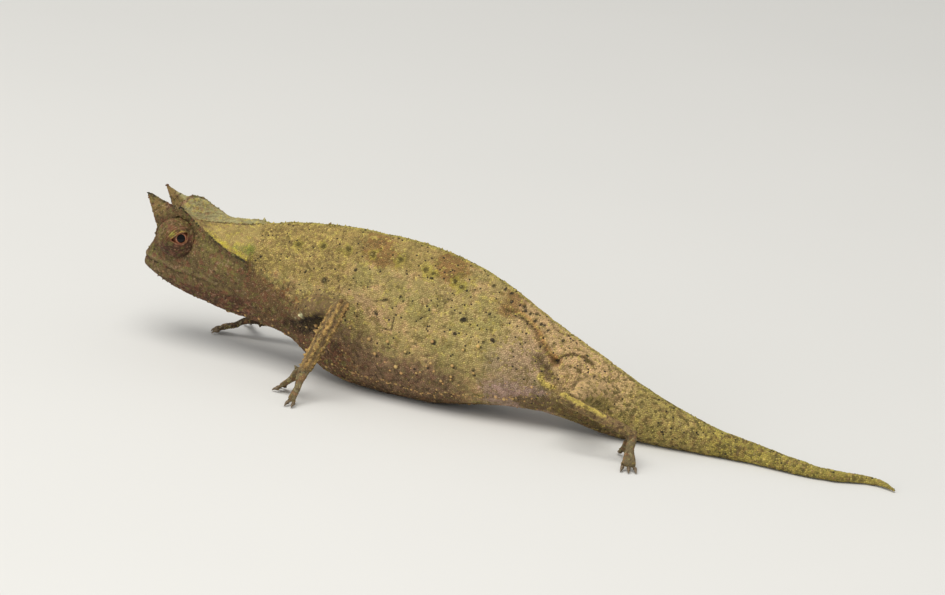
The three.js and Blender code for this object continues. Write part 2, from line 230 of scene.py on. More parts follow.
def copy_nodes(name, names):
    """One new piece from copies of CAD nodes, with their doubled points merged."""
    copies = []
    for node in names:
        twin = nodes[node].copy()
        twin.data = nodes[node].data.copy()
        twin.parent = None
        twin.matrix_world = nodes[node].matrix_world
        bpy.context.scene.collection.objects.link(twin)
        copies.append(twin)
    only(*copies)
    if len(copies) > 1:
        bpy.ops.object.join()
    piece = bpy.context.object
    piece.name = name
    piece.data.name = name
    piece.data.materials.clear()
    edit(piece)
    bpy.ops.mesh.remove_doubles(threshold=SAME_POINT * MM)
    bpy.ops.mesh.normals_make_consistent(inside=False)
    done()
    return piece


skin = copy_nodes("skin", flesh)
change(skin, "DISPLACE", strength=SWELL * MM, mid_level=0)
change(skin, "REMESH", mode="VOXEL", voxel_size=NET * MM)
tail_tip = np.zeros(len(skin.data.vertices), dtype=bool)
tail_tip[np.argmax(points_of(skin)[:, 0])] = True
pick_points(skin, tail_tip)
bpy.ops.mesh.select_linked()
bpy.ops.mesh.select_all(action="INVERT")
bpy.ops.mesh.delete(type="VERT")
done()
change(skin, "SMOOTH", factor=0.5, iterations=4)
change(skin, "DISPLACE", strength=-(SWELL + COAT) * MM, mid_level=0)
print("skin points:", len(skin.data.vertices), "faces:", len(skin.data.polygons))

# %% [markdown]
# ## Where things are on the skin
# Markings, folds and the lie of the scales all need to know where on the body a point is.
# A soft number from 0 to 1 is kept at each point for every region and every line,
# and the sculpting, the scales and the colours all read the same numbers.

# %% Soft numbers from places
def fade(value, start, end):
    """Rises smoothly from 0 at start to 1 at end."""
    part = np.clip((value - start) / (end - start), 0, 1)
    return part * part * (3 - 2 * part)


def hump(value, middle, width):
    """1 at the middle, falling smoothly to nearly 0 at twice the width on both sides."""
    return np.exp(-(((value - middle) / width) ** 2))


def near_line(points, line, width, flat=False):
    """1 on a line through these places, fading to 0 at about twice the width from it."""
    line = np.array(line, dtype=float)
    used = [0, 2] if flat else [0, 1, 2]
    p = points[:, used]
    line = line if flat else line[:, used]
    best = np.full(len(p), 1e9)
    for a, b in zip(line[:-1], line[1:]):
        along = b - a
        part = np.clip(((p - a) @ along) / max(along @ along, 1e-9), 0, 1)
        best = np.minimum(best, np.linalg.norm(p - (a + part[:, None] * along), axis=1))
    return np.exp(-((best / width) ** 2))


def near_spot(points, place, width, flat=False):
    used = [0, 2] if flat else [0, 1, 2]
    return np.exp(-(np.linalg.norm(points[:, used] - np.array(place), axis=1) / width) ** 2)


def follow(x, table):
    """Reads a value along the body from a few pairs of (x, value)."""
    return np.interp(x, [pair[0] for pair in table], [pair[1] for pair in table])


def spread(piece, values, rounds):
    """Averages a value over neighbouring points, a number of times."""
    a, b = read(piece.data.edges, "vertices", 2, np.int32).T
    total = len(values)
    count = np.maximum(np.bincount(a, minlength=total) + np.bincount(b, minlength=total), 1)
    columns = np.array(values, dtype=float).reshape(total, -1).T
    for _ in range(rounds):
        sums = [np.bincount(a, c[b], total) + np.bincount(b, c[a], total) for c in columns]
        columns = [0.5 * c + 0.5 * s / count for c, s in zip(columns, sums)]
    return np.array(columns).T.reshape(np.shape(values))


print("halfway up a fade:", float(fade(0.5, 0, 1)))

# %% Mirror the left side
HEAD_TILT = 0.076
HEAD_HALF = 2.9
NECK_START = -15.5
TILT_FROM = 8
TILT_OVER = 4.5


def lean_at(points):
    """How much higher the right side of the head is than the left, as the head leans to its left."""
    x, y, z = points.T
    rise = HEAD_TILT * (y + HEAD_HALF) * fade(y, 0, 1)
    return rise * np.clip((z - TILT_FROM) / TILT_OVER, 0, 1) * fade(NECK_START - x, 0, 1)


def mirrored(points, level=True):
    """The same places, all turned to the left side of the animal."""
    turned = points * (1, -1, 1)
    turned[:, 1] = -np.abs(points[:, 1])
    if level:
        turned[:, 2] -= lean_at(points)
    return turned


brow_lean = lean_at(np.array([(-25.0, HEAD_HALF, 14.0)]))[0]
print("the right brow is higher by, in mm:", round(float(brow_lean), 2))


# %% The lie of the scales on each solid
LIMBS = ("upper_arm", "forearm", "thigh", "shin", "toes")
PARENTS = {"upper_arm": "chest", "forearm": "upper_arm", "thigh": "rump", "shin": "thigh"}


def middle(name):
    low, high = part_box(name)
    return (np.array(low) + np.array(high)) / 2 / MM


def parent_of(name):
    """The solid that a limb's solid grows out of."""
    part = next(p for p in LIMBS if name.startswith(p))
    leg = name[len(part) + 1:]
    if part == "toes":
        leg = leg.rsplit("_", 1)[0]
        return ("forearm_" if leg.startswith("front") else "shin_") + leg
    if PARENTS[part] in ("chest", "rump"):
        return PARENTS[part]
    return PARENTS[part] + "_" + leg


def lie_of(name):
    """The way the scales point on one solid: tailwards on the trunk, outwards on a limb."""
    if not name.startswith(LIMBS):
        return np.array((1.0, 0.0, 0.0))
    points = points_of(nodes[name])
    length_way = np.linalg.svd(points - points.mean(axis=0), full_matrices=False)[2][0]
    return length_way * np.sign(length_way @ (middle(name) - middle(parent_of(name))))


lies = {name: lie_of(name) for name in flesh}
print("limb solids:", sum(name.startswith(LIMBS) for name in flesh))


# %% Limb, foot and head, from the solid that is nearest
ROWS_ROUND_LIMB = 5

corners, faces, owners = [], [], []
for name in flesh:
    first = len(corners)
    corners += [v.co.copy() for v in nodes[name].data.vertices]
    for polygon in nodes[name].data.polygons:
        faces.append([first + i for i in polygon.vertices])
        owners.append(name)
solids = BVHTree.FromPolygons(corners, faces)
owner_of = [owners[solids.find_nearest(v.co)[2]] for v in skin.data.vertices]


def on_solids(*starts):
    """1 at the skin points whose nearest solid has a name that starts like this."""
    return np.array([owner.startswith(starts) for owner in owner_of], dtype=float)


limb = spread(skin, on_solids(*LIMBS), 6)
lower_limb = spread(skin, on_solids("forearm", "shin", "toes"), 5)
foot = spread(skin, on_solids("toes"), 6)
head = spread(skin, on_solids("head", "lower_jaw", "horn"), 4)
lie = spread(skin, np.array([lies[owner] for owner in owner_of]), 12)
lie /= np.maximum(np.linalg.norm(lie, axis=1, keepdims=True), 1e-6)
rows = np.zeros(len(owner_of))
net = points_of(skin)
for name in flesh:
    if name.startswith(("forearm", "shin", "upper_arm")):
        mine = np.array(owner_of) == name
        away = net[mine] - middle(name)
        across = np.cross(lies[name], (0, 0, 1))
        across /= np.linalg.norm(across)
        turn = np.arctan2(away @ np.cross(lies[name], across), away @ across)
        rows[mine] = 0.5 + 0.5 * np.cos(ROWS_ROUND_LIMB * turn)
rows = spread(skin, rows, 1)
print("points on limbs:", int((limb > 0.5).sum()), "on the head:", int((head > 0.5).sum()))

# %% [markdown]
# ## Lines of the head and body
# The crest runs from each horn over the eye to a corner behind the head.
# Each line below is a handful of places, and (x, y, z) lines on the left side mirror to the
# right. The lines of the flank have only (x, z), and mark both sides alike.

# %% Lines of the head
CREST = [
    (-28.9, -2.4, 15.3), (-27.6, -2.5, 14.98), (-25.8, -2.6, 14.54), (-24.6, -2.7, 14.51),
    (-23.7, -2.8, 13.99),
    (-21.8, -3.1, 12.89), (-20.4, -3.3, 12.07), (-19.1, -3.5, 11.57), (-16.8, -3.7, 10.94),
]
BROW_EDGE = [
    (-29.0, -2.45, 15.3), (-27.2, -2.6, 14.65), (-25.9, -2.6, 14.25), (-24.7, -2.7, 14.2),
    (-23.6, -2.8, 13.6),
]
BROW_LIFT = [(-29.3, 0.22), (-28.2, 0.45), (-26.0, 0.5), (-24.7, 0.36), (-23.4, 0.12), (-22.4, 0)]
ROOF_LINES = [(-24, 1.3), (-22, 1.2), (-20.4, 0.95), (-18, 0.85), (-17, 0.5)]
MOUTH = [
    (-29.1, 0, 8.25), (-28.45, -1.62, 8.4), (-26.6, -2.5, 8.25), (-24.8, -2.82, 7.95),
    (-23.0, -3.0, 7.9), (-21.3, -3.05, 7.7), (-20.2, -3.05, 7.3),
]
BROW_CREASE = [
    (-25.3, -2.6, 14.3), (-24.4, -2.8, 14.15), (-23.75, -2.75, 13.3), (-23.3, -2.85, 12.4),
    (-23.35, -3.1, 11.6),
]
TEMPLE = [(-22.8, -3.0, 12.2), (-20.6, -3.3, 10.6), (-18.6, -3.5, 9.6)]
CHIN = [
    (-28.2, -0.9, 6.9), (-27.2, -1.4, 6.7), (-26.3, -1.8, 6.45), (-25.3, -1.85, 6.15), (-24.6, -1.9, 6.0),
    (-23.8, -1.95, 5.9), (-22.6, -1.9, 5.7), (-21.2, -1.7, 5.4), (-19.6, -1.4, 5.0),
]
NOSTRIL = (-27.85, -2.0, 9.55)
print("crest from", CREST[0], "to", CREST[-1])

# %% Lines of the neck, the flanks and the legs
NAPE = [
    (-16.2, 3.2, 12.2), (-16.6, 1.8, 13.7), (-16.8, 0, 14.2), (-16.6, -1.8, 13.6), (-16.2, -3.2, 12.0),
    (-15.8, -3.8, 10.8),
]
NECK_CREASES = [
    [(-14.9, -2.4, 12.9), (-14.2, -3.5, 11.4), (-13.9, -4.0, 10.0)],
    [(-13.2, -3.2, 11.9), (-12.4, -3.9, 10.4), (-12.2, -4.2, 8.8)],
    [(-19.0, -2.6, 6.4), (-17.2, -3.2, 7.0), (-15.6, -3.5, 8.0)],
    [(-17.6, -2.0, 5.4), (-15.4, -3.0, 6.2), (-13.6, -3.6, 7.4)],
]
FLANK_FOLD = [
    (5.6, 13.3), (7.1, 12.7), (9.0, 12.3), (10.0, 11.45), (11.1, 11.25), (12.4, 10.55), (13.5, 9.75),
    (14.1, 8.95), (15.1, 7.95), (15.9, 7.45),
]
FOLD_END = FLANK_FOLD[6:]
RUMP_CREASES = [
    [(16.3, 7.8), (17.2, 8.15), (18.3, 7.9), (19.3, 7.3)],
    [(14.3, 10.7), (14.8, 10.15), (15.6, 9.7), (16.9, 9.5)],
    [(16.9, 7.1), (18.0, 6.9), (18.7, 6.5)],
    [(18.7, 7.6), (18.3, 6.9), (18.4, 6.0), (18.0, 5.2)],
    [(20.9, 7.3), (21.2, 6.3), (20.8, 5.4), (21.2, 4.7)],
    [(23.3, 6.2), (23.9, 5.4), (24.3, 4.7)],
]
HIP_LINE = [(14.2, 7.6), (15.0, 6.9), (15.8, 6.3), (16.6, 5.5)]
FLANK_CREASES = [
    [(-3.0, 9.95), (-2.2, 10.2), (-1.5, 10.4)],
    [(-3.0, 9.1), (-2.3, 8.9), (-2.1, 8.1)],
    [(-1.6, 7.6), (-0.5, 7.7), (-0.5, 8.9)],
    [(-7.4, 11.6), (-6.9, 10.6), (-6.7, 9.7)],
]
SOFT_FOLDS = [
    [(-0.9, 5.9), (1.4, 5.6), (3.6, 5.9)],
    [(5.0, 7.4), (7.4, 7.1), (9.2, 7.5)],
    [(8.2, 4.6), (10.4, 4.4), (12.0, 4.7)],
    [(11.6, 3.5), (13.4, 3.1), (15.4, 2.9)],
    [(-6.2, 4.6), (-4.4, 3.9), (-2.2, 3.6)],
    [(2.2, 9.4), (3.9, 10.4), (4.6, 11.6)],
]
PIT = (16.0, 7.3)
KNEE = [(14.9, -2.9, 5.8), (15.3, -2.9, 5.25), (16.0, -2.75, 5.0), (16.9, -2.9, 4.8)]
SHINS = [
    [(18.2, -6.9, 6.2), (19.9, -6.7, 5.6), (22.8, -6.2, 4.65)],
    [(15.0, 6.9, 5.0), (17.2, 7.1, 4.4), (19.4, 7.2, 3.8)],
]
GROIN = [(14.3, 7.4), (15.0, 6.6), (15.7, 5.9)]
ARM_UNDER = [(-9.7, -4.5, 6.5), (-8.8, -5.2, 6.9), (-7.9, -5.8, 7.5)]
ARMPIT = [(-12.4, -3.2, 5.0), (-10.4, -3.6, 5.3), (-9.6, -3.9, 5.8), (-8.6, -4.1, 6.1), (-7.9, -4.3, 6.6)]
print("creases:", len(NECK_CREASES + RUMP_CREASES + FLANK_CREASES), "soft folds:", len(SOFT_FOLDS))

# %% [markdown]
# ## Melt the limbs into the body
# On the animal the thigh, the upper arm and the head flow out of the trunk.
# Points are averaged with their neighbours many times there, and hardly at all elsewhere.

# %% Melt the limbs into the body
points = points_of(skin)
thigh = spread(skin, on_solids("thigh"), 10)
upper_arm = spread(skin, on_solids("upper_arm"), 6)
nape = near_line(points, NAPE, 1.3)
for part, rounds in ((0.95 * thigh, 240), (0.85 * upper_arm, 140), (0.9 * nape, 60)):
    part = part * (1 - fade(lower_limb, 0.0, 0.3))
    points = points + (spread(skin, points, rounds) - points) * part[:, None]
moved_by = np.linalg.norm(points - points_of(skin), axis=1).max()
set_points(skin, points)
print("farthest move in mm:", round(float(moved_by), 2))

# %% [markdown]
# ## Sculpt the folds
# Skin folds are shallow here, so moving points along their normals is enough.
# Ridges rise and creases sink by a fraction of a millimetre, and a soft noise gives
# the slight unevenness of living skin.

# %% Relief of the head
x, y, z = points.T
left = mirrored(points)
trunk = 1 - limb
body = 1 - lower_limb
eye_low, eye_high = (np.array(corner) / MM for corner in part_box("eyelid_left"))
EYE_R = (eye_high[2] - eye_low[2]) / 2
EYE = np.array(((eye_low[0] + eye_high[0]) / 2, eye_low[1] + EYE_R, (eye_low[2] + eye_high[2]) / 2))
from_eye = np.linalg.norm(mirrored(points, level=False) - EYE, axis=1) - EYE_R
crest = near_line(left, CREST, 0.17)
roof_ridge = hump(np.abs(y), follow(x, ROOF_LINES), 0.2)
roof_ridge *= head * fade(x, -24.2, -23.4) * fade(z, 12.6, 13.0)
mouth = near_line(left, MOUTH, 0.15)
lip = near_line(left, np.array(MOUTH) + (0, 0, 0.42), 0.24)
jaw = near_line(left, np.array(MOUTH) - (0, 0, 0.42), 0.24)
outer = fade(np.abs(y), 1.9, 2.5) * head
high = fade(left[:, 2], 12.6, 13.6)
rings = np.cos(2 * math.pi * from_eye / 0.3) * hump(from_eye, 0, 0.8) * outer * high
orbit = hump(from_eye, 0.5, 0.4) * outer
brow = near_line(left, BROW_CREASE, 0.16) * head * (1 - fade(y, 0, 1) * fade(left[:, 2], 13.0, 13.6))
nostril = near_spot(left, NOSTRIL, 0.22)
print("middle of the left eye in mm:", EYE.round(2).tolist(), "radius:", round(float(EYE_R), 2))


# %% Relief of the neck, the flanks and the limbs
def near_lines(points, lines, width, flat=False):
    return sum(near_line(points, line, width, flat) for line in lines)


deepening = fade(x, 8.5, 13.0) * 0.8 + 0.2
fold = near_line(points, FLANK_FOLD, 0.18, flat=True) * trunk * deepening
above_fold = near_line(points - (0.17, 0, 0.22), FLANK_FOLD, 0.16, flat=True) * trunk * deepening
pit = near_spot(points, PIT, 0.45, flat=True) * trunk
creases = near_lines(left, NECK_CREASES, 0.22) * trunk
creases += 0.6 * near_line(points, HIP_LINE, 0.2, flat=True) * trunk
small_creases = near_lines(points, FLANK_CREASES + RUMP_CREASES, 0.16, flat=True) * trunk
soft_folds = near_lines(points, SOFT_FOLDS, 0.3, flat=True) * trunk
shoulder = limb * (1 - limb) * 4
limb_rows = rows * lower_limb * (1 - foot)
shin_ridge = near_line(points, KNEE, 0.4)
forearm_swell = lower_limb * (1 - foot) * (x < 0)
print("points on the flank fold:", int((fold > 0.5).sum()))

# %% Sculpt
RELIEF = (
    (crest, 0.13), (roof_ridge, 0.08), (orbit, 0.07), (rings, 0.05), (lip, 0.09), (jaw, 0.05),
    (mouth, -0.2), (brow, -0.14), (nostril, -0.36),
    (fold, -0.24), (pit, -0.5), (creases, -0.14), (small_creases, -0.07), (shoulder, -0.04),
    (soft_folds, -0.09), (limb_rows, 0.09), (above_fold, 0.15), (shin_ridge, 0.3),
    (near_line(points, ARMPIT, 0.8), -0.45), (forearm_swell, 0.13),
)
FLOOR_MARGIN = 0.35
LID_HUG = 0.19
CHEEK_HOLLOW = 0.42
NOISES = (("unevenness", "SOFT_NOISE", 1.6, 0.14), ("crinkles", "HARD_NOISE", 0.75, 0.09))

height = sum(depth * mask for mask, depth in RELIEF)
height = np.where(z < FLOOR_MARGIN, np.minimum(height, 0), height)
hug = hump(from_eye, 0.22, 0.28) * fade(np.abs(y), 1.5, 2.0) * head
to_eye = EYE * np.column_stack((np.ones_like(hug), -np.sign(y), np.ones_like(hug))) - points
to_eye /= np.linalg.norm(to_eye, axis=1, keepdims=True)
moved = points + normals_of(skin) * height[:, None] + to_eye * (LID_HUG * hug)[:, None]
moved[:, 2] += near_line(points, BROW_EDGE, 0.6) * follow(x, BROW_LIFT)
moved[:, 0] += CHEEK_HOLLOW * hump(z, 10.7, 1.1) * fade(-26.7 - x, 0, 0.9) * head
set_points(skin, moved)
for name, kind, size, depth in NOISES:
    clouds = bpy.data.textures.new(name, "CLOUDS")
    clouds.noise_type = kind
    clouds.noise_scale = size * MM
    clouds.noise_depth = 2
    change(skin, "DISPLACE", texture=clouds, texture_coords="LOCAL", strength=depth * MM, mid_level=0.5)
change(skin, "SMOOTH", factor=0.4, iterations=1)
print("deepest fold in mm:", round(float(height.min()), 2), "highest ridge:", round(float(height.max()), 2))

# %% [markdown]
# ## Masks for the markings
# Camouflage on this animal is built of soft patches, so each one is a soft mask.
# The colours come later, in one table that names these masks.
# The skin has moved since the sculpting, so its points and normals are read again.

# %% Masks of the trunk
points = points_of(skin)
left = mirrored(points)
normals = normals_of(skin)
x, y, z = points.T
from_eye = np.linalg.norm(mirrored(points, level=False) - EYE, axis=1) - EYE_R
brown_line = 11.0 - 0.52 * (x + 17)
front_brown = (1 - fade(z - brown_line, -1.6, 1.0)) * (1 - fade(x, -7.5, -2.5)) * body
brown_climb = 0.35 * np.clip(x, -6, 0) * fade(x, -11, -6)
masks = {
    "tail": fade(x, 15, 27) * body,
    "rump": fade(x, 8, 13) * (1 - fade(x, 20, 27)) * fade(normals[:, 2], -0.3, 0.4) * body,
    "upper_back": fade(z, 12.4, 14.0) * (1 - fade(x, 4, 8)) * body,
    # Darker towards the bottom: partly the animal's own brown, partly painted shade of the underside.
    "low_flank": (1 - fade(z + brown_climb, 1.8, 8.4)) * (1 - fade(x, 4, 11)) * body,
    "rear_low": (1 - fade(z, 3.2, 6.2)) * fade(x, 7, 12) * (1 - fade(x, 15, 17.5)) * body,
    "rear_flank": near_spot(points, (12.5, 6.0), 3.6, flat=True) * body,
    "green_flank": near_spot(points, (8.5, 8.4), 4.0, flat=True) * body,
    # Darker at the underside: partly its own colour, partly painted shade.
    "under": (1 - fade(z, 0.5, 1.9)) * (1 - fade(x, 20, 30)) * body,
    "tail_end": fade(x, 26, 36) * body,
    "front_brown": front_brown,
}
print("masks of the trunk:", list(masks))

# %% [markdown]
# ## The head
# The casque is pale and yellow inside its dark crests, and the side of the head is brown.
# Each mask is cut off by height and by the crest line, so it ends where the form turns.

# %% Masks of the head
crest_z = follow(x, [(c[0], c[2]) for c in CREST]) + 0.9 * follow(x, BROW_LIFT) * (y < 0)
crest_y = follow(x, [(c[0], -c[1]) for c in CREST])
CREST_LINE = [(cx, cy - 0.08, cz + 0.85 * float(follow(cx, BROW_LIFT)) - 0.1) for cx, cy, cz in CREST]
inside_crest = fade(crest_y - np.abs(y), 0.0, 0.25) * fade(normals[:, 2], -0.1, 0.25)
roof_drop = 0.4 + 1.8 * np.maximum(crest_y - np.abs(y) - 0.1, 0)
casque = fade(left[:, 2] - crest_z + roof_drop, 0, 0.4) * inside_crest * fade(-16.2 - x, 0, 0.8)
casque = casque * fade(x, -28.5, -26.0)
far_side = fade(y, 0.1, 0.6)
beyond_roof = fade(y + follow(x, ROOF_LINES), 0.0, 0.2)
far_crest = 1.6 * near_line(left, CREST, 0.9) * far_side
far_crest_edge = 0.1 * near_line(left, CREST, 0.17) * fade(x, -28.8, -28.0) * far_side
roof_line = hump(np.abs(y), follow(x, ROOF_LINES), 0.12)
gold_line = near_line(left + (-0.25, 0.0, -0.2), CREST, 0.48)
green_front = near_spot(left, (-17.0, -2.9, 12.0), 0.8)
green_back = near_spot(left, (-18.6, -3.1, 11.9), 0.7)
head_side = head * (1 - casque)
masks.update({
    "head_side": head_side,
    "temple": near_line(left, TEMPLE, 1.0) * head_side,
    "throat": (1 - fade(z, 6.0, 7.6)) * fade(-15.5 - x, 0, 1.5) * (1 - limb),
    "nose": fade(-26.4 - x, 0, 2.0) * head_side * (1 - fade(z, 11.0, 12.5)),
    "horn": fade(z, 12.6, 13.8) * fade(-26.0 - x, 0, 1.2) * head_side,
    "orbit": hump(from_eye, 0, 0.8) * outer * fade(z, 10.0, 12.0),
    "lips": np.clip(lip + 0.5 * jaw, 0, 1) * head_side,
    "casque": casque,
    "far_casque": np.clip(casque * beyond_roof + far_crest, 0, 1) * fade(x, -28.6, -26.8),
    "casque_green": green_front + 0.6 * green_back,
    "crest_gold": gold_line * casque * (1 - far_side) * fade(x, -24, -22),
    "crest": near_line(points, CREST_LINE, 0.31) + far_crest_edge,
    "roof_line": roof_line * roof_ridge * casque * (1 - 0.6 * far_side),
})
print("points on the casque:", int((casque > 0.5).sum()))

# %% [markdown]
# ## Spots and folds
# Small dark spots and a few larger ones break up the flank, and moss-like patches lie
# along the back. A painted shadow lies just below each tubercle, and fine creases get painted shade.
# A fold is painted dark in its depth as painted shade, and golden on the rim above it,
# partly its own colour and partly painted highlight.

# %% Places of the spots
NECK_BLOTCHES = [
    (-12.9, 8.7, 0.8), (-12.1, 9.5, 0.6), (-13.9, 10.1, 0.4), (-10.8, 8.2, 1.0), (-9.2, 8.6, 0.6),
]
PALE_BEHIND_ELBOW = [(-4.5, 9.9), (-3.2, 9.2), (-1.6, 8.4)]
UNDER_SHANK = [(13.4, 2.6), (15.8, 3.0), (18.0, 2.2), (23.0, 1.2)]
SADDLES = [(-4.5, 14.75), (-3.0, 14.2), (3.2, 14.6), (4.4, 14.1), (10.5, 11.9)]
BACK_SPOTS = [
    (-12.3, 13.35), (-9.6, 13.75, 0.36), (-7.0, 14.05, 0.38), (-4.25, 14.15), (-1.3, 14.1),
    (1.4, 13.7, 0.28), (2.3, 13.55, 0.2), (4.7, 13.25, 0.24), (5.4, 12.9, 0.28),
]
FLANK_SPOTS = [
    (6.67, 10.08, 0.3), (6.35, 9.95, 0.24), (5.93, 8.61, 0.28), (4.8, 9.03, 0.22), (-1.76, 10.37, 0.18),
    (-0.3, 10.9, 0.17), (0.1, 10.6, 0.15), (-3.8, 9.75, 0.14), (0.5, 11.0, 0.14), (-2.5, 8.95, 0.24),
    (-8.56, 10.72, 0.4), (3.97, 7.41, 0.24), (8.9, 8.3, 0.18), (2.2, 6.9, 0.18), (10.6, 7.0, 0.18),
    (-5.6, 12.4, 0.2), (8.8, 10.9, 0.2), (12.5, 6.2, 0.2), (6.3, 4.3, 0.22), (2.5, 4.3, 0.2),
    (3.6, 5.4, 0.2), (8.4, 5.4, 0.22),
]
TUBERCLES = [
    (-2.65, -4.9, 6.35), (-1.8, -4.9, 4.85), (3.7, -5.0, 4.9), (6.35, -4.9, 5.5), (2.6, -4.95, 3.85),
    (5.25, -4.75, 3.6), (6.25, -4.7, 4.0), (8.4, -4.5, 5.05), (-0.65, -4.95, 6.4), (8.55, -4.15, 7.9),
    (3.95, -4.75, 7.5), (1.35, -5.05, 5.9), (0.55, -4.95, 4.2), (9.75, -3.65, 8.65), (7.15, -4.6, 7.3),
]
# Painted shadows, just below and behind each tubercle.
TUBERCLE_SHADOWS = [(px + 0.15, pz - 0.14) for px, py, pz in TUBERCLES]
FLECKS = [
    (10.4, 12.15), (11.2, 11.9), (11.65, 11.8), (11.9, 11.5), (12.4, 11.3), (12.9, 11.25), (13.6, 10.45),
    (13.95, 10.35), (14.4, 9.95), (9.4, 13.1), (8.3, 13.3), (10.1, 12.8), (13.0, 10.7), (15.3, 8.9),
    (16.0, 9.2),
]
print("dark spots on each side:", len(FLANK_SPOTS + TUBERCLE_SHADOWS + FLECKS))


# %% Masks of the spots and folds
def spots(places, width=0.3):
    """1 on each of these places on the body's side; a third number is a spot's own width."""
    found = sum(
        near_spot(points, spot[:2], spot[2] if len(spot) > 2 else width, flat=True)
        for spot in places
    )
    return np.clip(found, 0, 1) * trunk


# Lines along the creases of the hip and the rump and along the flank fold, painted dark as painted shade.
hip_line = near_line(points, HIP_LINE, 0.13, flat=True) * trunk
rump_lines = near_lines(points, RUMP_CREASES, 0.1, flat=True) * trunk
rump_lines += near_line(points, RUMP_CREASES[0], 0.16, flat=True) * trunk
flank_lines = near_lines(points, FLANK_CREASES, 0.09, flat=True) * trunk
fine_fold = near_line(points, FLANK_FOLD, 0.11, flat=True) * trunk * (0.3 + 0.7 * fade(x, 8.5, 13.0))
# Painted shadow in the armpit and under the upper arm.
armpit = 1.3 * near_line(points, ARMPIT, 0.85) + near_line(points, ARM_UNDER, 0.6)
armpit = np.clip(armpit, 0, 1) * (1 - lower_limb)
brown_rim = np.clip(3.2 * front_brown * (1 - front_brown) + spots(NECK_BLOTCHES, 1.2), 0, 1)
# Real dark spots, with painted shade in the fine flank creases and painted shadows under the tubercles.
small_spots_and_shadows = spots(FLANK_SPOTS) + spots(FLECKS, 0.17) + 0.75 * flank_lines + spots(TUBERCLE_SHADOWS, 0.19)
masks.update({
    "neck_dark": spots(NECK_BLOTCHES, 0.9),
    "olive_shoulder": fade(-3.0 - x, 0, 6) * fade(z, 9.0, 11.5) * (1 - head) * body,
    "brown_edge": brown_rim * body * (1 - head) * (1 - armpit),
    "pink": near_line(points, PALE_BEHIND_ELBOW, 0.8, flat=True) * body,
    # Painted shade on the body just under the shank of the near hind leg.
    "under_shank": near_line(points, UNDER_SHANK, 1.1, flat=True) * trunk * (y < 0),
    "saddle": spots(SADDLES, 1.3),
    "back_lichen": spots([spot[:2] for spot in BACK_SPOTS], 0.6),
    "back_spots": spots(BACK_SPOTS, 0.32),
    "dark_spots": np.clip(small_spots_and_shadows, 0, 1),
    # Painted shade in the flank fold and the creases.
    "fold": np.clip(fine_fold + 0.45 * creases + 0.4 * hip_line + 0.6 * rump_lines, 0, 1),
    # Golden rim above the fold: partly its own colour, partly painted highlight on the raised edge.
    "fold_gold": above_fold * trunk,
    # Reddish along the end of the fold and round the pit: partly its own colour, partly painted shade
    # beside the ridge.
    "fold_red": np.clip(near_line(points, FOLD_END, 0.5, flat=True) * 0.7 + pit, 0, 1) * trunk,
    # A near-black spot in the sculpted pit: painted shade.
    "pit": near_spot(points, PIT, 0.34, flat=True) * trunk,
})
masks["olive_shoulder"] *= 1 - masks["back_spots"]
print("points in dark spots:", int((masks["dark_spots"] > 0.5).sum()))

# %% [markdown]
# ## Limbs and fine detail
# Rows of golden bumps run down the arms on dark skin. Hollows get painted shade all over,
# and painted shadow darkens the armpit, the groin, the far arm and the skin under the shank.
# Two of the last masks aren't colours: where scales may grow, and how large.

# %% Masks of the limbs
arm_end = fade(0.7 - limb + lower_limb, 0, 0.7)
masks.update({
    "upper_arm": limb * body * (1 - fade(x, 2, 5)),
    "limb": lower_limb,
    "arm_rows": rows * limb * (1 - foot) * arm_end * (1 - 0.6 * fade(x, 4, 8)),
    # Golden band along the top of the shins and the knee: partly its own colour, partly painted highlight.
    "shin_gold": np.clip(near_lines(points, (*SHINS, KNEE), 0.42), 0, 1),
    # Painted shade under the thigh, in the groin.
    "groin": near_line(points, GROIN, 0.7, flat=True) * body * (np.abs(y) < 5),
    "armpit": armpit,
    "foot": foot,
    # The far front leg painted dark as painted shade.
    "far_arm": lower_limb * fade(y, 2, 4) * (1 - fade(x, -8, -2)),
    "shoulder_pale": (
        near_spot(points, (-10.4, -4.6, 6.8), 0.55) + near_spot(points, (-11.1, -4.1, 6.2), 0.36)
    ),
})
print("points on the lower limbs:", int((lower_limb > 0.5).sum()))

# %% Masks of ridges, hollows and grain
RIDGE_STEP = 0.5
HIGHEST = 8

ridge_y = np.zeros_like(x)
for start in np.arange(-17.5, 52, RIDGE_STEP):
    row = (x >= start) & (x < start + RIDGE_STEP) & (limb < 0.2)
    if row.any():
        ridge_y[row] = y[row][np.argsort(z[row])[-HIGHEST:]].mean()
sunk = ((spread(skin, points, 4) - points) * normals).sum(axis=1)
rim = hump(from_eye, 0, 0.2) * outer * (1 - far_side * fade(z, 13.0, 13.6))
rear = fade(x, 12, 24)
plain = (1 - head) * (1 - front_brown) * body * (1 - armpit)
masks.update({
    "ridge": hump(y, ridge_y, 0.3) * fade(normals[:, 2], 0.3, 0.8) * fade(x, -17.6, -16.8) * trunk,
    # How sunk the skin is, painted dark as painted shade in its hollows and creases.
    "hollow": fade(sunk, 0.004, 0.03),
    # socket: painted shade in the nostril, the mouth groove, the brow crease and at the foot of the turret.
    "socket": np.clip(nostril * 1.3 + 0.8 * mouth + 0.8 * brow + 0.6 * rim, 0, 1),
    "mottled": (rear * (1 - 0.6 * fade(x, 40, 50)) + 0.35 * (1 - rear) * (1 - head)) * body,
    "cheek": np.clip(head_side + 0.8 * front_brown + 0.4 * (1 - fade(z, 3.0, 7.2)) * trunk, 0, 1),
    "speck": np.clip(fade(z, 4.0, 7.5) + fade(x, 10, 16), 0, 1) * plain,
    "cover": 1 - np.clip(1.5 * nostril + 0.6 * mouth, 0, 1),
    "size": 1 - 0.2 * head_side - 0.2 * limb - 0.15 * foot,
})
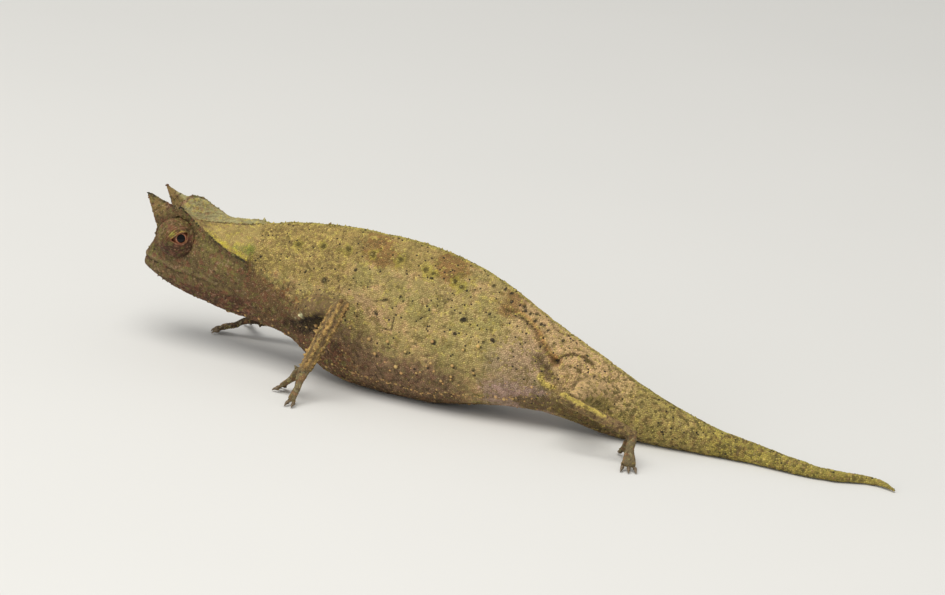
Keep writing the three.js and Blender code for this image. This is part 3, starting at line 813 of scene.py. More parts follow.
masks["cheek"] *= 1 - armpit
masks["speck"] *= 1 - np.maximum(masks["dark_spots"], masks["back_spots"])
print("masks:", len(masks))


# %% Keep the masks on the skin
def store(piece, name, values):
    """Keeps one number, or one vector, per point under a name."""
    kind = "FLOAT_VECTOR" if values.ndim == 2 else "FLOAT"
    layer = piece.data.attributes.new(name, kind, "POINT")
    key = "vector" if values.ndim == 2 else "value"
    layer.data.foreach_set(key, values.astype(np.float32).ravel())


def stored(piece, name):
    return read(piece.data.attributes[name].data, "value", 1)


MARKS = [name for name in masks if name not in ("cover", "size")]
for name, values in masks.items():
    store(skin, name, values)
store(skin, "lie", lie)
print("colour masks:", len(MARKS))

# %% [markdown]
# ## Unwrap the skin
# The scales take their place on the colour map from the skin they grow on,
# so the skin is unwrapped once and every scale remembers its root.

# %% Unwrap
def unwrap(piece):
    edit(piece)
    bpy.ops.uv.smart_project(angle_limit=math.radians(66), island_margin=0.001)
    done()
    piece.data.uv_layers[0].name = "OFBake"


unwrap(skin)
print("unwrapped:", skin.data.uv_layers[0].name)

# %% [markdown]
# ## Horns
# The horns are the pointed ends of the crest, and the same skin covers them.
# They are cut off the skin along the plane where the CAD horns begin, so the two
# surfaces meet exactly, and a face closes each cut.

# %% Horns
HORN_PLANE = Vector((-0.77, 0, 0.64)).normalized()
SIDES = {"left": -1, "right": 1}
horn_start = min(HORN_PLANE.dot(v.co) for v in nodes["horn_left"].data.vertices)


def slice_off(piece, **side):
    """Cuts a piece along the horn plane and closes the cut."""
    edit(piece)
    bpy.ops.mesh.bisect(plane_co=HORN_PLANE * horn_start, plane_no=HORN_PLANE, use_fill=True, **side)
    done()


def twin_of(piece, name):
    twin = piece.copy()
    twin.data = piece.data.copy()
    twin.name = name
    twin.data.name = name
    bpy.context.scene.collection.objects.link(twin)
    return twin


def keep_faces(piece, keep):
    """Deletes the faces whose first point isn't kept."""
    starts = read(piece.data.polygons, "loop_start", 1, np.int32)
    loops = read(piece.data.loops, "vertex_index", 1, np.int32)
    edit(piece, "DESELECT")
    bpy.ops.mesh.select_mode(type="FACE")
    done()
    piece.data.polygons.foreach_set("select", ~keep[loops[starts]])
    bpy.ops.object.mode_set(mode="EDIT")
    bpy.ops.mesh.delete(type="FACE")
    bpy.ops.mesh.select_mode(type="VERT")
    done()


horns = {}
for side, sign in SIDES.items():
    horn = twin_of(skin, "horn_skin_" + side)
    slice_off(horn, clear_inner=True)
    keep_faces(horn, points_of(horn)[:, 1] * sign > 0)
    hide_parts("horn_" + side)
    horns[side] = horn
slice_off(skin, clear_outer=True)
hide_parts(*[n for n in flesh if not n.startswith("horn")])
print("horn points:", [len(h.data.vertices) for h in horns.values()])

# %% [markdown]
# ## Eye turrets
# A chameleon's eyelids are fused into a cone of skin that turns with the eye.
# Each one is a ball with a small almond-shaped opening at its pole, and the pole points
# where the eye looks. The rings near the pole are drawn in, so the lid edge is fine.

# %% The opening of the lids
GAZES = {"left": (0.497, -0.849, 0.184), "right": (-0.42, 0.9, 0.1)}
LID_EDGE = [
    (-90, 0.56), (-60, 0.55), (-24, 0.59), (14, 0.71), (41, 0.96), (60, 0.72), (75, 0.6), (113, 0.5),
    (150, 0.56), (170, 0.73), (186, 1.04), (200, 0.84), (219, 0.66), (245, 0.58), (270, 0.56),
]
RINGS = 72
FIRST_RING = 4


def eye_directions(side):
    """Three directions at an eye: tailwards, upwards and out of it."""
    sign = SIDES[side]
    out = np.array(GAZES[side]) / np.linalg.norm(GAZES[side])
    right = np.array((0.94, -0.34 * sign, 0.12))
    right -= out * (right @ out)
    right /= np.linalg.norm(right)
    return right, np.cross(out, right) * -sign, out


def ball_in(node, side):
    """Middle and radius of the ball that a CAD node of an eye is cut from."""
    low, high = (np.array(corner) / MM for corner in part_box(node))
    radius = (high[2] - low[2]) / 2
    ball_y = low[1] + radius if side == "left" else high[1] - radius
    return np.array(((low[0] + high[0]) / 2, ball_y, (low[2] + high[2]) / 2)), radius


def open_ball(name):
    """A unit ball without the rings at its pole, its points and their angle from the pole."""
    bpy.ops.mesh.primitive_uv_sphere_add(segments=128, ring_count=RINGS, radius=1)
    piece = bpy.context.object
    piece.name = name
    ball = points_of(piece) * MM
    theta = np.arccos(np.clip(ball[:, 2], -1, 1))
    keep = theta > math.pi * (FIRST_RING - 0.5) / RINGS
    pick_points(piece, ~keep)
    bpy.ops.mesh.delete(type="VERT")
    done()
    return piece, ball[keep], theta[keep]


print("lid opening across in mm:", round(2 * min(reach for _, reach in LID_EDGE), 2))


# %% Turrets
LID_THICKNESS = 0.06
LID_NARROWING = 0.93
TURRET_BACK = 0.95


def lid_masks(piece, degrees, around, beyond, crease, folds):
    """Keeps the colours of a turret: a pale rim, gold and yellow on the lid, and painted shade in its
    creases and wrinkle troughs.
    """
    gold = fade(degrees, 52, 66) * fade(-degrees, -184, -174)
    yellow = fade(degrees, 100, 125) * fade(-degrees, -178, -165)
    store(piece, "turret", np.ones(len(beyond)))
    store(piece, "turret_olive", fade(np.sin(around - 0.2), -0.35, 0.35) * fade(beyond, 0.04, 0.12))
    store(piece, "lid_rim", hump(beyond, 0, 0.05))
    store(piece, "lid_gold", gold * hump(beyond, 0.075, 0.04))
    store(piece, "lid_yellow", yellow * hump(beyond, 0.2, 0.1))
    # Painted shade in the brow crease behind the eye.
    store(piece, "lid_crease", crease)
    # Painted shade in the troughs of the turret's wrinkles.
    store(piece, "hollow", fade(-folds, 0.2, 0.8) * 0.7)
    store(piece, "cheek", np.full(len(beyond), 0.8))
    store(piece, "cover", fade(beyond, 0.02, 0.05))
    store(piece, "size", 0.55 + 0.45 * fade(beyond, 0.1, 0.6))


def close_inwards(piece, pole, out):
    """Turns the lid edge in and closes the turret behind the opening."""
    edit(piece, "DESELECT")
    bpy.ops.mesh.select_non_manifold()
    inwards = Vector(-out) * MM
    bpy.ops.mesh.extrude_region_move(TRANSFORM_OT_translate={"value": inwards * LID_THICKNESS})
    bpy.ops.transform.resize(value=(LID_NARROWING,) * 3, center_override=pole)
    bpy.ops.mesh.extrude_region_move(TRANSFORM_OT_translate={"value": inwards * TURRET_BACK})
    bpy.ops.mesh.edge_face_add()
    bpy.ops.mesh.select_all(action="SELECT")
    bpy.ops.mesh.normals_make_consistent(inside=False)
    done()


def turret(side):
    middle_of, radius = ball_in("eyelid_" + side, side)
    right, up, out = eye_directions(side)
    piece, ball, theta = open_ball("turret_" + side)
    around = np.arctan2(ball[:, 1], ball[:, 0])
    degrees = (np.degrees(around) + 90) % 360 - 90
    opening = np.arcsin(follow(degrees, LID_EDGE) / radius)
    first = math.pi * FIRST_RING / RINGS
    part = (theta - first) / (math.pi - first)
    polar = opening + (math.pi - opening) * part ** 1.6
    beyond = polar - opening
    upper = fade(np.sin(around - 0.4), -0.15, 0.4)
    sine, cosine = np.sin(polar), np.cos(polar)
    across, along = np.cos(around), np.sin(around)
    way = np.outer(sine * across, right) + np.outer(sine * along, up) + np.outer(cosine, out)
    fall = np.outer(cosine * across, right) + np.outer(cosine * along, up) - np.outer(sine, out)
    crease = near_line(mirrored(way * radius + middle_of, level=False), BROW_CREASE, 0.14)
    wrinkles = np.cos(2 * math.pi * beyond / 0.12) * hump(beyond, 0, 0.5) * fade(beyond, 0.08, 0.2)
    rise = (
        0.06 * hump(beyond, 0.03, 0.035) - 0.05 * hump(beyond, 0.1, 0.04)
        + (0.03 + 0.05 * upper) * wrinkles + 0.07 * upper * hump(beyond, 0.28, 0.12) - 0.13 * crease
    )
    set_points(piece, way * (radius + rise)[:, None] + middle_of)
    lid_masks(piece, degrees, around, beyond, crease, wrinkles * upper)
    store(piece, "lie", fall)
    close_inwards(piece, Vector(middle_of * MM) + Vector(out) * (radius * MM), out)
    unwrap(piece)
    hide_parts("eyelid_" + side)
    return piece


turrets = {side: turret(side) for side in SIDES}
print("turret points:", [len(t.data.vertices) for t in turrets.values()])

# %% [markdown]
# ## Eyes
# The eyeball fills the turret and only a little of it shows.
# It is a smooth ball that keeps, at each point, how far it is from the line of sight,
# so that the pupil and the iris are exact circles in the colour.

# %% Eyes
CORNEA = 0.07
CORNEA_WIDTH = 0.42


def eye(side):
    ball_middle, radius = ball_in("eye_" + side, side)
    gaze = Vector(GAZES[side]).normalized()
    bpy.ops.mesh.primitive_uv_sphere_add(segments=64, ring_count=48, radius=radius * MM)
    piece = bpy.context.object
    piece.name = "eyeball_" + side
    piece.data.transform(gaze.to_track_quat("Z", "Y").to_matrix().to_4x4())
    ball = points_of(piece)
    angle = np.arccos(np.clip(ball @ np.array(gaze) / radius, -1, 1))
    cornea = CORNEA * np.exp(-((angle / CORNEA_WIDTH) ** 4))
    set_points(piece, ball * (1 + cornea / radius)[:, None] + ball_middle)
    store(piece, "off_axis", radius * np.sin(np.minimum(angle, math.pi / 2)))
    smooth_look(piece)
    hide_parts("eye_" + side)
    return piece


eyes = [eye(side) for side in SIDES]
print("eyes:", [e.name for e in eyes])

# %% [markdown]
# ## Claws
# The claws are small horny hooks, one on each toe.
# The CAD hooks are the right shape already, so copies of them are only smoothed, and made
# a little longer at the root, because the rounded toe draws back from the end of its solid.

# %% Claws
LONGER = 1.35


def long_claw(hook, ankle):
    """A copy of one hook, made longer from its tip, the point farthest from the ankle."""
    piece = copy_nodes(hook + "_long", [hook])
    hook_points = points_of(piece)
    tip = hook_points[np.argmax(np.linalg.norm(hook_points - ankle, axis=1))]
    set_points(piece, tip + (hook_points - tip) * LONGER)
    return piece


claws = []
for leg in ("front_left", "front_right", "hind_left", "hind_right"):
    hooks = [n for n in nodes if n.startswith("claw_" + leg)]
    ankle = np.mean([middle(n) for n in nodes if n.startswith("toes_" + leg)], axis=0)
    only(*[long_claw(hook, ankle) for hook in hooks])
    bpy.ops.object.join()
    piece = bpy.context.object
    piece.name = "claws_" + leg
    piece.data.name = "claws_" + leg
    change(piece, "SUBSURF", levels=1)
    smooth_look(piece)
    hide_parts(*hooks)
    claws.append(piece)
print("claws:", [len(c.data.vertices) for c in claws])

# %% [markdown]
# ## The models of a scale
# A granule, a bead and a spine are all small closed domes with few faces,
# because they are repeated thousands of times. Each keeps how high a point is on it,
# so that the colour can be paler on top and darker in the gaps, as painted shade.

# %% Scale models
SUNK = 0.35
LONGER_THAN_WIDE = 1.12, 0.96


def scale_model(name, sides, shoulder, shoulder_z, top_z, back):
    """A closed dome: a ring in the skin, a smaller ring above it and a point on top."""
    bpy.ops.mesh.primitive_cone_add(
        vertices=sides, radius1=1, radius2=shoulder, depth=shoulder_z + SUNK,
        location=(0, 0, (shoulder_z - SUNK) / 2),
    )
    piece = bpy.context.object
    piece.name = name
    bpy.ops.object.transform_apply(location=True)
    edit(piece, "DESELECT")
    done()
    for polygon in piece.data.polygons:
        polygon.select = polygon.normal.z > 0.9
    bpy.ops.object.mode_set(mode="EDIT")
    bpy.ops.mesh.poke()
    done()
    places = points_of(piece) * MM
    centre = (np.hypot(places[:, 0], places[:, 1]) < 0.01) & (places[:, 2] > 0)
    places[centre, 2] = top_z
    lift = np.clip(places[:, 2] / top_z, 0, 1)
    places[:, 0] = places[:, 0] * LONGER_THAN_WIDE[0] + back * lift
    places[:, 1] *= LONGER_THAN_WIDE[1]
    set_points(piece, places / MM)
    # The height on the dome, read by the colours as painted shade at its foot.
    store(piece, "crown", lift)
    store(piece, "local", places)
    print(name, "triangles:", triangles_in(piece))
    return piece


granule = scale_model("granule", sides=5, shoulder=0.68, shoulder_z=0.28, top_z=0.42, back=0.14)
bead = scale_model("bead", sides=7, shoulder=0.66, shoulder_z=0.5, top_z=0.75, back=0.1)
spine = scale_model("spine", sides=7, shoulder=0.5, shoulder_z=0.7, top_z=1.5, back=0.3)

# %% [markdown]
# ## Growing scales
# Scales pack closely and never in a grid. Points are thrown on the skin with a smallest
# distance between them, a dome is set on each, turned to the skin and leaning tailwards,
# and everything is made into one real mesh. Geometry nodes do this in one pass.

# %% Helpers for node trees
def shown(sockets, name):
    return next(s for s in sockets if s.enabled and s.name == name)


def feed(tree, socket, value):
    """Links a socket to another node's output, or gives it a plain value."""
    if isinstance(value, bpy.types.NodeSocket):
        tree.links.new(value, socket)
    else:
        socket.default_value = value


def add(tree, kind, settings=None, feeds=None, out=None):
    """Adds a node, sets it up, feeds its inputs by name or number, and gives back one output."""
    node = tree.nodes.new(kind)
    for key, value in (settings or {}).items():
        setattr(node, key, value)
    for key, value in (feeds or {}).items():
        feed(tree, node.inputs[key] if isinstance(key, int) else shown(node.inputs, key), value)
    if out is not None:
        return shown(node.outputs, out)
    return next((s for s in node.outputs if s.enabled), None)


def maths(tree, operation, a, b=0.0):
    return add(tree, "ShaderNodeMath", {"operation": operation}, {0: a, 1: b})


def vector_maths(tree, operation, feeds):
    return add(tree, "ShaderNodeVectorMath", {"operation": operation}, feeds)


def named(tree, name, kind="FLOAT"):
    return add(tree, "GeometryNodeInputNamedAttribute", {"data_type": kind}, {"Name": name}, "Attribute")


def keep_as(tree, geometry, name, value, kind="FLOAT", domain="POINT"):
    settings = {"data_type": kind, "domain": domain}
    feeds = {"Geometry": geometry, "Name": name, "Value": value}
    return add(tree, "GeometryNodeStoreNamedAttribute", settings, feeds)


def chance(tree, low, high, seed):
    node = add(tree, "FunctionNodeRandomValue", {"data_type": "FLOAT"}, {"Seed": seed}).node
    shown(node.inputs, "Min").default_value = low
    shown(node.inputs, "Max").default_value = high
    return shown(node.outputs, "Value")


print("scale models ready:", [model.name for model in (granule, bead, spine)])


# %% The tree that grows scales
CROWDED = 6
MAP_PATCH = 0.0013


def thrown(tree, surface, spacing, seed):
    """Points thrown on a surface, each with its place on the colour map, and the way up there."""
    node = add(tree, "GeometryNodeDistributePointsOnFaces", {"distribute_method": "POISSON"}, {
        "Mesh": surface,
        "Distance Min": spacing * MM,
        "Density Max": CROWDED / (spacing * MM) ** 2,
        "Density Factor": named(tree, "cover"),
        "Seed": seed,
    }).node
    places = named(tree, "OFBake", "FLOAT_VECTOR")
    roots = keep_as(tree, shown(node.outputs, "Points"), "place", places, "FLOAT_VECTOR")
    return roots, shown(node.outputs, "Normal")


def turned_scale(tree, up, seed):
    """The turn of a scale: up from the skin, along the lie, and leaning back by chance."""
    align = "FunctionNodeAlignRotationToVector"
    upright = add(tree, align, {"axis": "Z"}, {"Vector": up})
    feeds = {"Rotation": upright, "Vector": named(tree, "lie", "FLOAT_VECTOR")}
    turned = add(tree, align, {"axis": "X", "pivot_axis": "Z"}, feeds)
    wobble = add(tree, "ShaderNodeCombineXYZ", None, {
        "X": chance(tree, -0.12, 0.12, seed),
        "Y": chance(tree, -0.22, -0.02, seed + 1),
        "Z": chance(tree, -0.5, 0.5, seed + 2),
    })
    lean = add(tree, "FunctionNodeEulerToRotation", None, {0: wobble})
    feeds = {"Rotation": turned, "Rotate By": lean}
    return add(tree, "FunctionNodeRotateRotation", {"rotation_space": "LOCAL"}, feeds)


def growth(model, spacing, size, seed, planted=False):
    """A node tree that grows scales on a mesh, or on the points of one if they are planted."""
    tree = bpy.data.node_groups.new("growth", "GeometryNodeTree")
    tree.interface.new_socket("Geometry", in_out="INPUT", socket_type="NodeSocketGeometry")
    tree.interface.new_socket("Geometry", in_out="OUTPUT", socket_type="NodeSocketGeometry")
    surface = add(tree, "NodeGroupInput")
    if planted:
        roots = add(tree, "GeometryNodeMeshToPoints", None, {"Mesh": surface})
        up = named(tree, "up", "FLOAT_VECTOR")
    else:
        roots, up = thrown(tree, surface, spacing, seed)
    roots = keep_as(tree, roots, "root", add(tree, "GeometryNodeInputPosition"), "FLOAT_VECTOR")
    roots = keep_as(tree, roots, "tint", chance(tree, 0.0, 1.0, seed + 1))
    roots = keep_as(tree, roots, "luck", chance(tree, 0.0, 1.0, seed + 2))
    own_size = maths(tree, "MULTIPLY", named(tree, "size"), chance(tree, 0.82, 1.22, seed + 6))
    scales = add(tree, "GeometryNodeInstanceOnPoints", None, {
        "Points": roots,
        "Instance": add(tree, "GeometryNodeObjectInfo", None, {"Object": model}, "Geometry"),
        "Rotation": turned_scale(tree, up, seed + 3),
        "Scale": maths(tree, "MULTIPLY", own_size, size * MM),
    })
    scales = add(tree, "GeometryNodeRealizeInstances", None, {"Geometry": scales})
    patch = vector_maths(tree, "MULTIPLY_ADD", {
        0: named(tree, "local", "FLOAT_VECTOR"),
        1: (MAP_PATCH, MAP_PATCH, 0.0),
        2: named(tree, "place", "FLOAT_VECTOR"),
    })
    scales = keep_as(tree, scales, "OFBake", patch, "FLOAT2", "CORNER")
    scales = add(tree, "GeometryNodeSetShadeSmooth", None, {"Geometry": scales})
    tree.links.new(scales, tree.nodes.new("NodeGroupOutput").inputs[0])
    return tree


print("a scale's patch on the colour map:", round(2 * MAP_PATCH, 4))


# %% Grow the coat
HELPERS = ("place", "local", "lie", "up", "size", "cover")
coat = []


def grow(piece, model, spacing, size, seed, planted=False):
    """Turns a piece of skin, or planted points, into the scales that grow on it."""
    only(piece)
    tree = growth(model, spacing, size, seed, planted)
    bpy.ops.object.modifier_add(type="NODES")
    piece.modifiers[-1].node_group = tree
    bpy.ops.object.modifier_apply(modifier=piece.modifiers[-1].name)
    bpy.data.node_groups.remove(tree)
    for name in HELPERS:
        if name in piece.data.attributes:
            piece.data.attributes.remove(piece.data.attributes[name])
    print(piece.name, "triangles:", triangles_in(piece))
    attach(piece, "root")
    coat.append(piece)


points = points_of(skin)
x, y, z = points.T
on_limb = stored(skin, "limb") > 0.5
on_body = ~on_limb
flank = (x >= -7) & (x < 8) & on_body
COAT_PIECES = [
    ("scales_head", skin, (x < -16.6) & on_body, 0.145, 11, "head_skin"),
    ("scales_neck", skin, (x >= -16.6) & (x < -7) & on_body, 0.165, 12, "body_skin"),
    ("scales_flank_left", skin, flank & (y < 0), 0.165, 13, "body_skin"),
    ("scales_flank_right", skin, flank & (y >= 0), 0.165, 14, "body_skin"),
    ("scales_rump", skin, (x >= 8) & (x < 19) & on_body, 0.165, 15, "body_skin"),
    ("scales_tail", skin, (x >= 19) & on_body, 0.165, 16, "tail_skin"),
    ("scales_front_legs", skin, (x < 5) & on_limb, 0.15, 17, "leg_skin"),
    ("scales_hind_legs", skin, (x >= 5) & on_limb, 0.15, 18, "leg_skin"),
]
for kind, bases, spacing, seed in (("horn", horns, 0.145, 19), ("turret", turrets, 0.115, 20)):
    for side, base in bases.items():
        everywhere = np.ones(len(base.data.vertices), dtype=bool)
        COAT_PIECES.append((f"scales_{kind}_{side}", base, everywhere, spacing, seed, kind + "_skin"))
SIZE_TO_GAP = 0.7
for name, base, keep, spacing, seed, slot in COAT_PIECES:
    piece = twin_of(base, name)
    keep_faces(piece, keep)
    grow(piece, granule, spacing, spacing * SIZE_TO_GAP, seed)

# %% [markdown]
# ## Ridge scales and granules
# Larger scales stand in lines and clusters: a saw edge on the back, beads on the crest,
# spines under the chin and on the arms, and pale grains low on the flank.
# Each line is walked at an even step, and a scale is planted at the nearest skin point.

# %% What is known at each skin point
finder = KDTree(len(points))
for number, place in enumerate(points):
    finder.insert(place, number)
finder.balance()
skin_up = normals_of(skin)
skin_lie = read(skin.data.attributes["lie"].data, "vector", 3)
skin_place = np.zeros((len(points), 3))
uv_corners = read(skin.data.uv_layers["OFBake"].data, "uv", 2)
skin_place[read(skin.data.loops, "vertex_index", 1, np.int32), :2] = uv_corners
print("skin points to plant on:", len(points))


# %% Planting
def walk(line, step):
    """Even steps along a line of places."""
    line = np.array(line, dtype=float)
    lengths = np.concatenate(([0], np.cumsum(np.linalg.norm(np.diff(line, axis=0), axis=1))))
    stops = np.arange(0, lengths[-1] + 1e-6, step)
    return np.column_stack([np.interp(stops, lengths, line[:, i]) for i in range(3)])


def both_sides(places):
    right = places * (1, -1, 1)
    right[:, 2] += lean_at(right)
    return np.concatenate((places, right))


def plant(name, places, sizes, model, seed, upright=0.0, sure=None):
    """A piece made of scales planted at the skin points nearest to these places."""
    roots = np.array([finder.find(place)[1] for place in places])
    mesh = bpy.data.meshes.new(name)
    mesh.from_pydata([tuple(p) for p in points[roots] * MM], [], [])
    piece = bpy.data.objects.new(name, mesh)
    bpy.context.scene.collection.objects.link(piece)
    up = skin_up[roots] + np.array((0, 0, upright))
    store(piece, "up", up / np.linalg.norm(up, axis=1, keepdims=True))
    store(piece, "lie", skin_lie[roots])
    store(piece, "place", skin_place[roots])
    store(piece, "size", np.array(sizes, dtype=float))
    for mask in MARKS:
        values = stored(skin, mask)[roots]
        store(piece, mask, np.where(places[:, 1] < 0.0, 1.0, values) if mask == sure else values)
    grow(piece, model, 0, 1, seed, planted=True)


dice = np.random.default_rng(7)
back_line = []
for start in np.arange(-17.0, 49.0, 0.45):
    row = np.flatnonzero((np.abs(x - start) < 0.2) & on_body)
    back_line.append(points[row[np.argmax(z[row])]])
back_line = np.array(back_line)
back_size = follow(back_line[:, 0], [(-17, 0.1), (-5, 0.09), (15, 0.08), (30, 0.09), (48, 0.05)])
back_size *= dice.uniform(0.5, 1.4, len(back_line))
back_size[0] = 0.22
plant("ridge_back", back_line, back_size, spine, 31, upright=1.5)

# %% Beads and spines of the head
CREST_GAP = 0.19

beads = np.concatenate((walk(CREST_LINE, CREST_GAP), both_sides(walk(CREST, CREST_GAP))[1::2]))
bead_sizes = dice.uniform(0.07, 0.115, len(beads)) * np.where(beads[:, 1] > 0, 0.4, 1)
plant("beads_crest", beads, bead_sizes, bead, 32, upright=0.6, sure="crest")
roof_x = np.arange(-23.8, -17.0, 0.26)
roof_y = follow(roof_x, ROOF_LINES)
roof_z = follow(roof_x, [(-24, 13.4), (-21, 13.9), (-17, 14.4)])
roof = np.concatenate([np.column_stack((roof_x, sign * roof_y, roof_z)) for sign in (-1, 1)])
plant("beads_roof", roof, dice.uniform(0.07, 0.12, len(roof)), bead, 33, sure="roof_line")
chin = both_sides(walk(CHIN, 0.62))
plant("spines_chin", chin, dice.uniform(0.07, 0.14, len(chin)), spine, 34, upright=-0.6)


# %% Grains scattered over a region
def scatter(keep, gap, seed):
    """Skin points inside a mask, no two closer than the gap."""
    order = np.random.default_rng(seed).permutation(np.flatnonzero(keep))
    chosen = []
    grid = {}
    for number in order:
        place = points[number]
        cell = tuple((place / gap).astype(int))
        near = [p for dx in (-1, 0, 1) for dy in (-1, 0, 1) for dz in (-1, 0, 1)
                for p in grid.get((cell[0] + dx, cell[1] + dy, cell[2] + dz), ())]
        if all(np.linalg.norm(place - p) > gap for p in near):
            chosen.append(place)
            grid.setdefault(cell, []).append(place)
    return np.array(chosen)


def mostly_small(least, more, power, count):
    """Sizes by chance, most of them near the least."""
    return least + more * dice.random(count) ** power


above_floor = z > 0.8
brown_low = stored(skin, "low_flank")
low = ((brown_low > 0.45) | (stored(skin, "rear_low") > 0.5)) & above_floor & on_body
grains = scatter(low, 0.85, 5)
plant("grains_flank", grains, mostly_small(0.06, 0.18, 3, len(grains)), bead, 35)
upper = (brown_low < 0.35) & on_body & (x > -16) & above_floor
grains = scatter(upper, 1.1, 6)
plant("beads_back", grains, mostly_small(0.08, 0.08, 2, len(grains)), bead, 36)
cheeks = (stored(skin, "head_side") > 0.6) & (x > -28.5) & ~((y > 0) & (z > 12.8))
grains = scatter(cheeks, 0.42, 8)
plant("beads_head", grains, dice.uniform(0.07, 0.13, len(grains)), bead, 37)
arms = on_limb & (stored(skin, "foot") < 0.5) & above_floor & (stored(skin, "arm_rows") > 0.45)
grains = scatter(arms, 0.36, 9)
plant("spines_legs", grains, mostly_small(0.07, 0.16, 3, len(grains)), spine, 38)

# %% Spurs, tubercles and the belly's edge
SPURS = [(-8.0, -8.2, 7.2), (-8.6, -8.6, 5.5), (-9.2, -8.9, 3.9), (-5.8, -8.3, 6.4), (-6.3, -8.5, 5.0)]
SPUR_SIZES = (0.26, 0.24, 0.22, 0.18, 0.2)
EDGE_Y = 4.2
EDGE_Z = 1.6

plant("spurs_arm", np.array(SPURS), SPUR_SIZES, spine, 41)
grains = scatter(stored(skin, "shoulder_pale") > 0.35, 0.34, 10)
plant("beads_shoulder", grains, dice.uniform(0.16, 0.26, len(grains)), bead, 40)
warts = np.concatenate((TUBERCLES, np.array(TUBERCLES) * (1, -1, 1)))
plant("grains_warts", warts, dice.uniform(0.14, 0.24, len(warts)), bead, 42)
for side, sign in SIDES.items():
    edge = np.array([
        (edge_x, sign * EDGE_Y, EDGE_Z + 0.05 * abs(edge_x - 2) + dice.normal(0, 0.22))
        for edge_x in np.arange(-6, 15, 0.3)
    ])
    plant("grains_belly_" + side, edge, dice.uniform(0.08, 0.16, len(edge)), bead, 39)
print("coat pieces:", len(coat), "triangles:", triangles_in(*coat))

# %% [markdown]
# ## Colours
# One table gives every marking its mask, its colour, its strength and how ragged its edge is.
# A second table breaks the markings up with blotches: a colour, its strength, the scale of
# the noise and the level where it starts.
# A node group lays them over each other in that order, and the skin and the scales share it,
# so the markings run through both. A scale looks its colour up at its root.

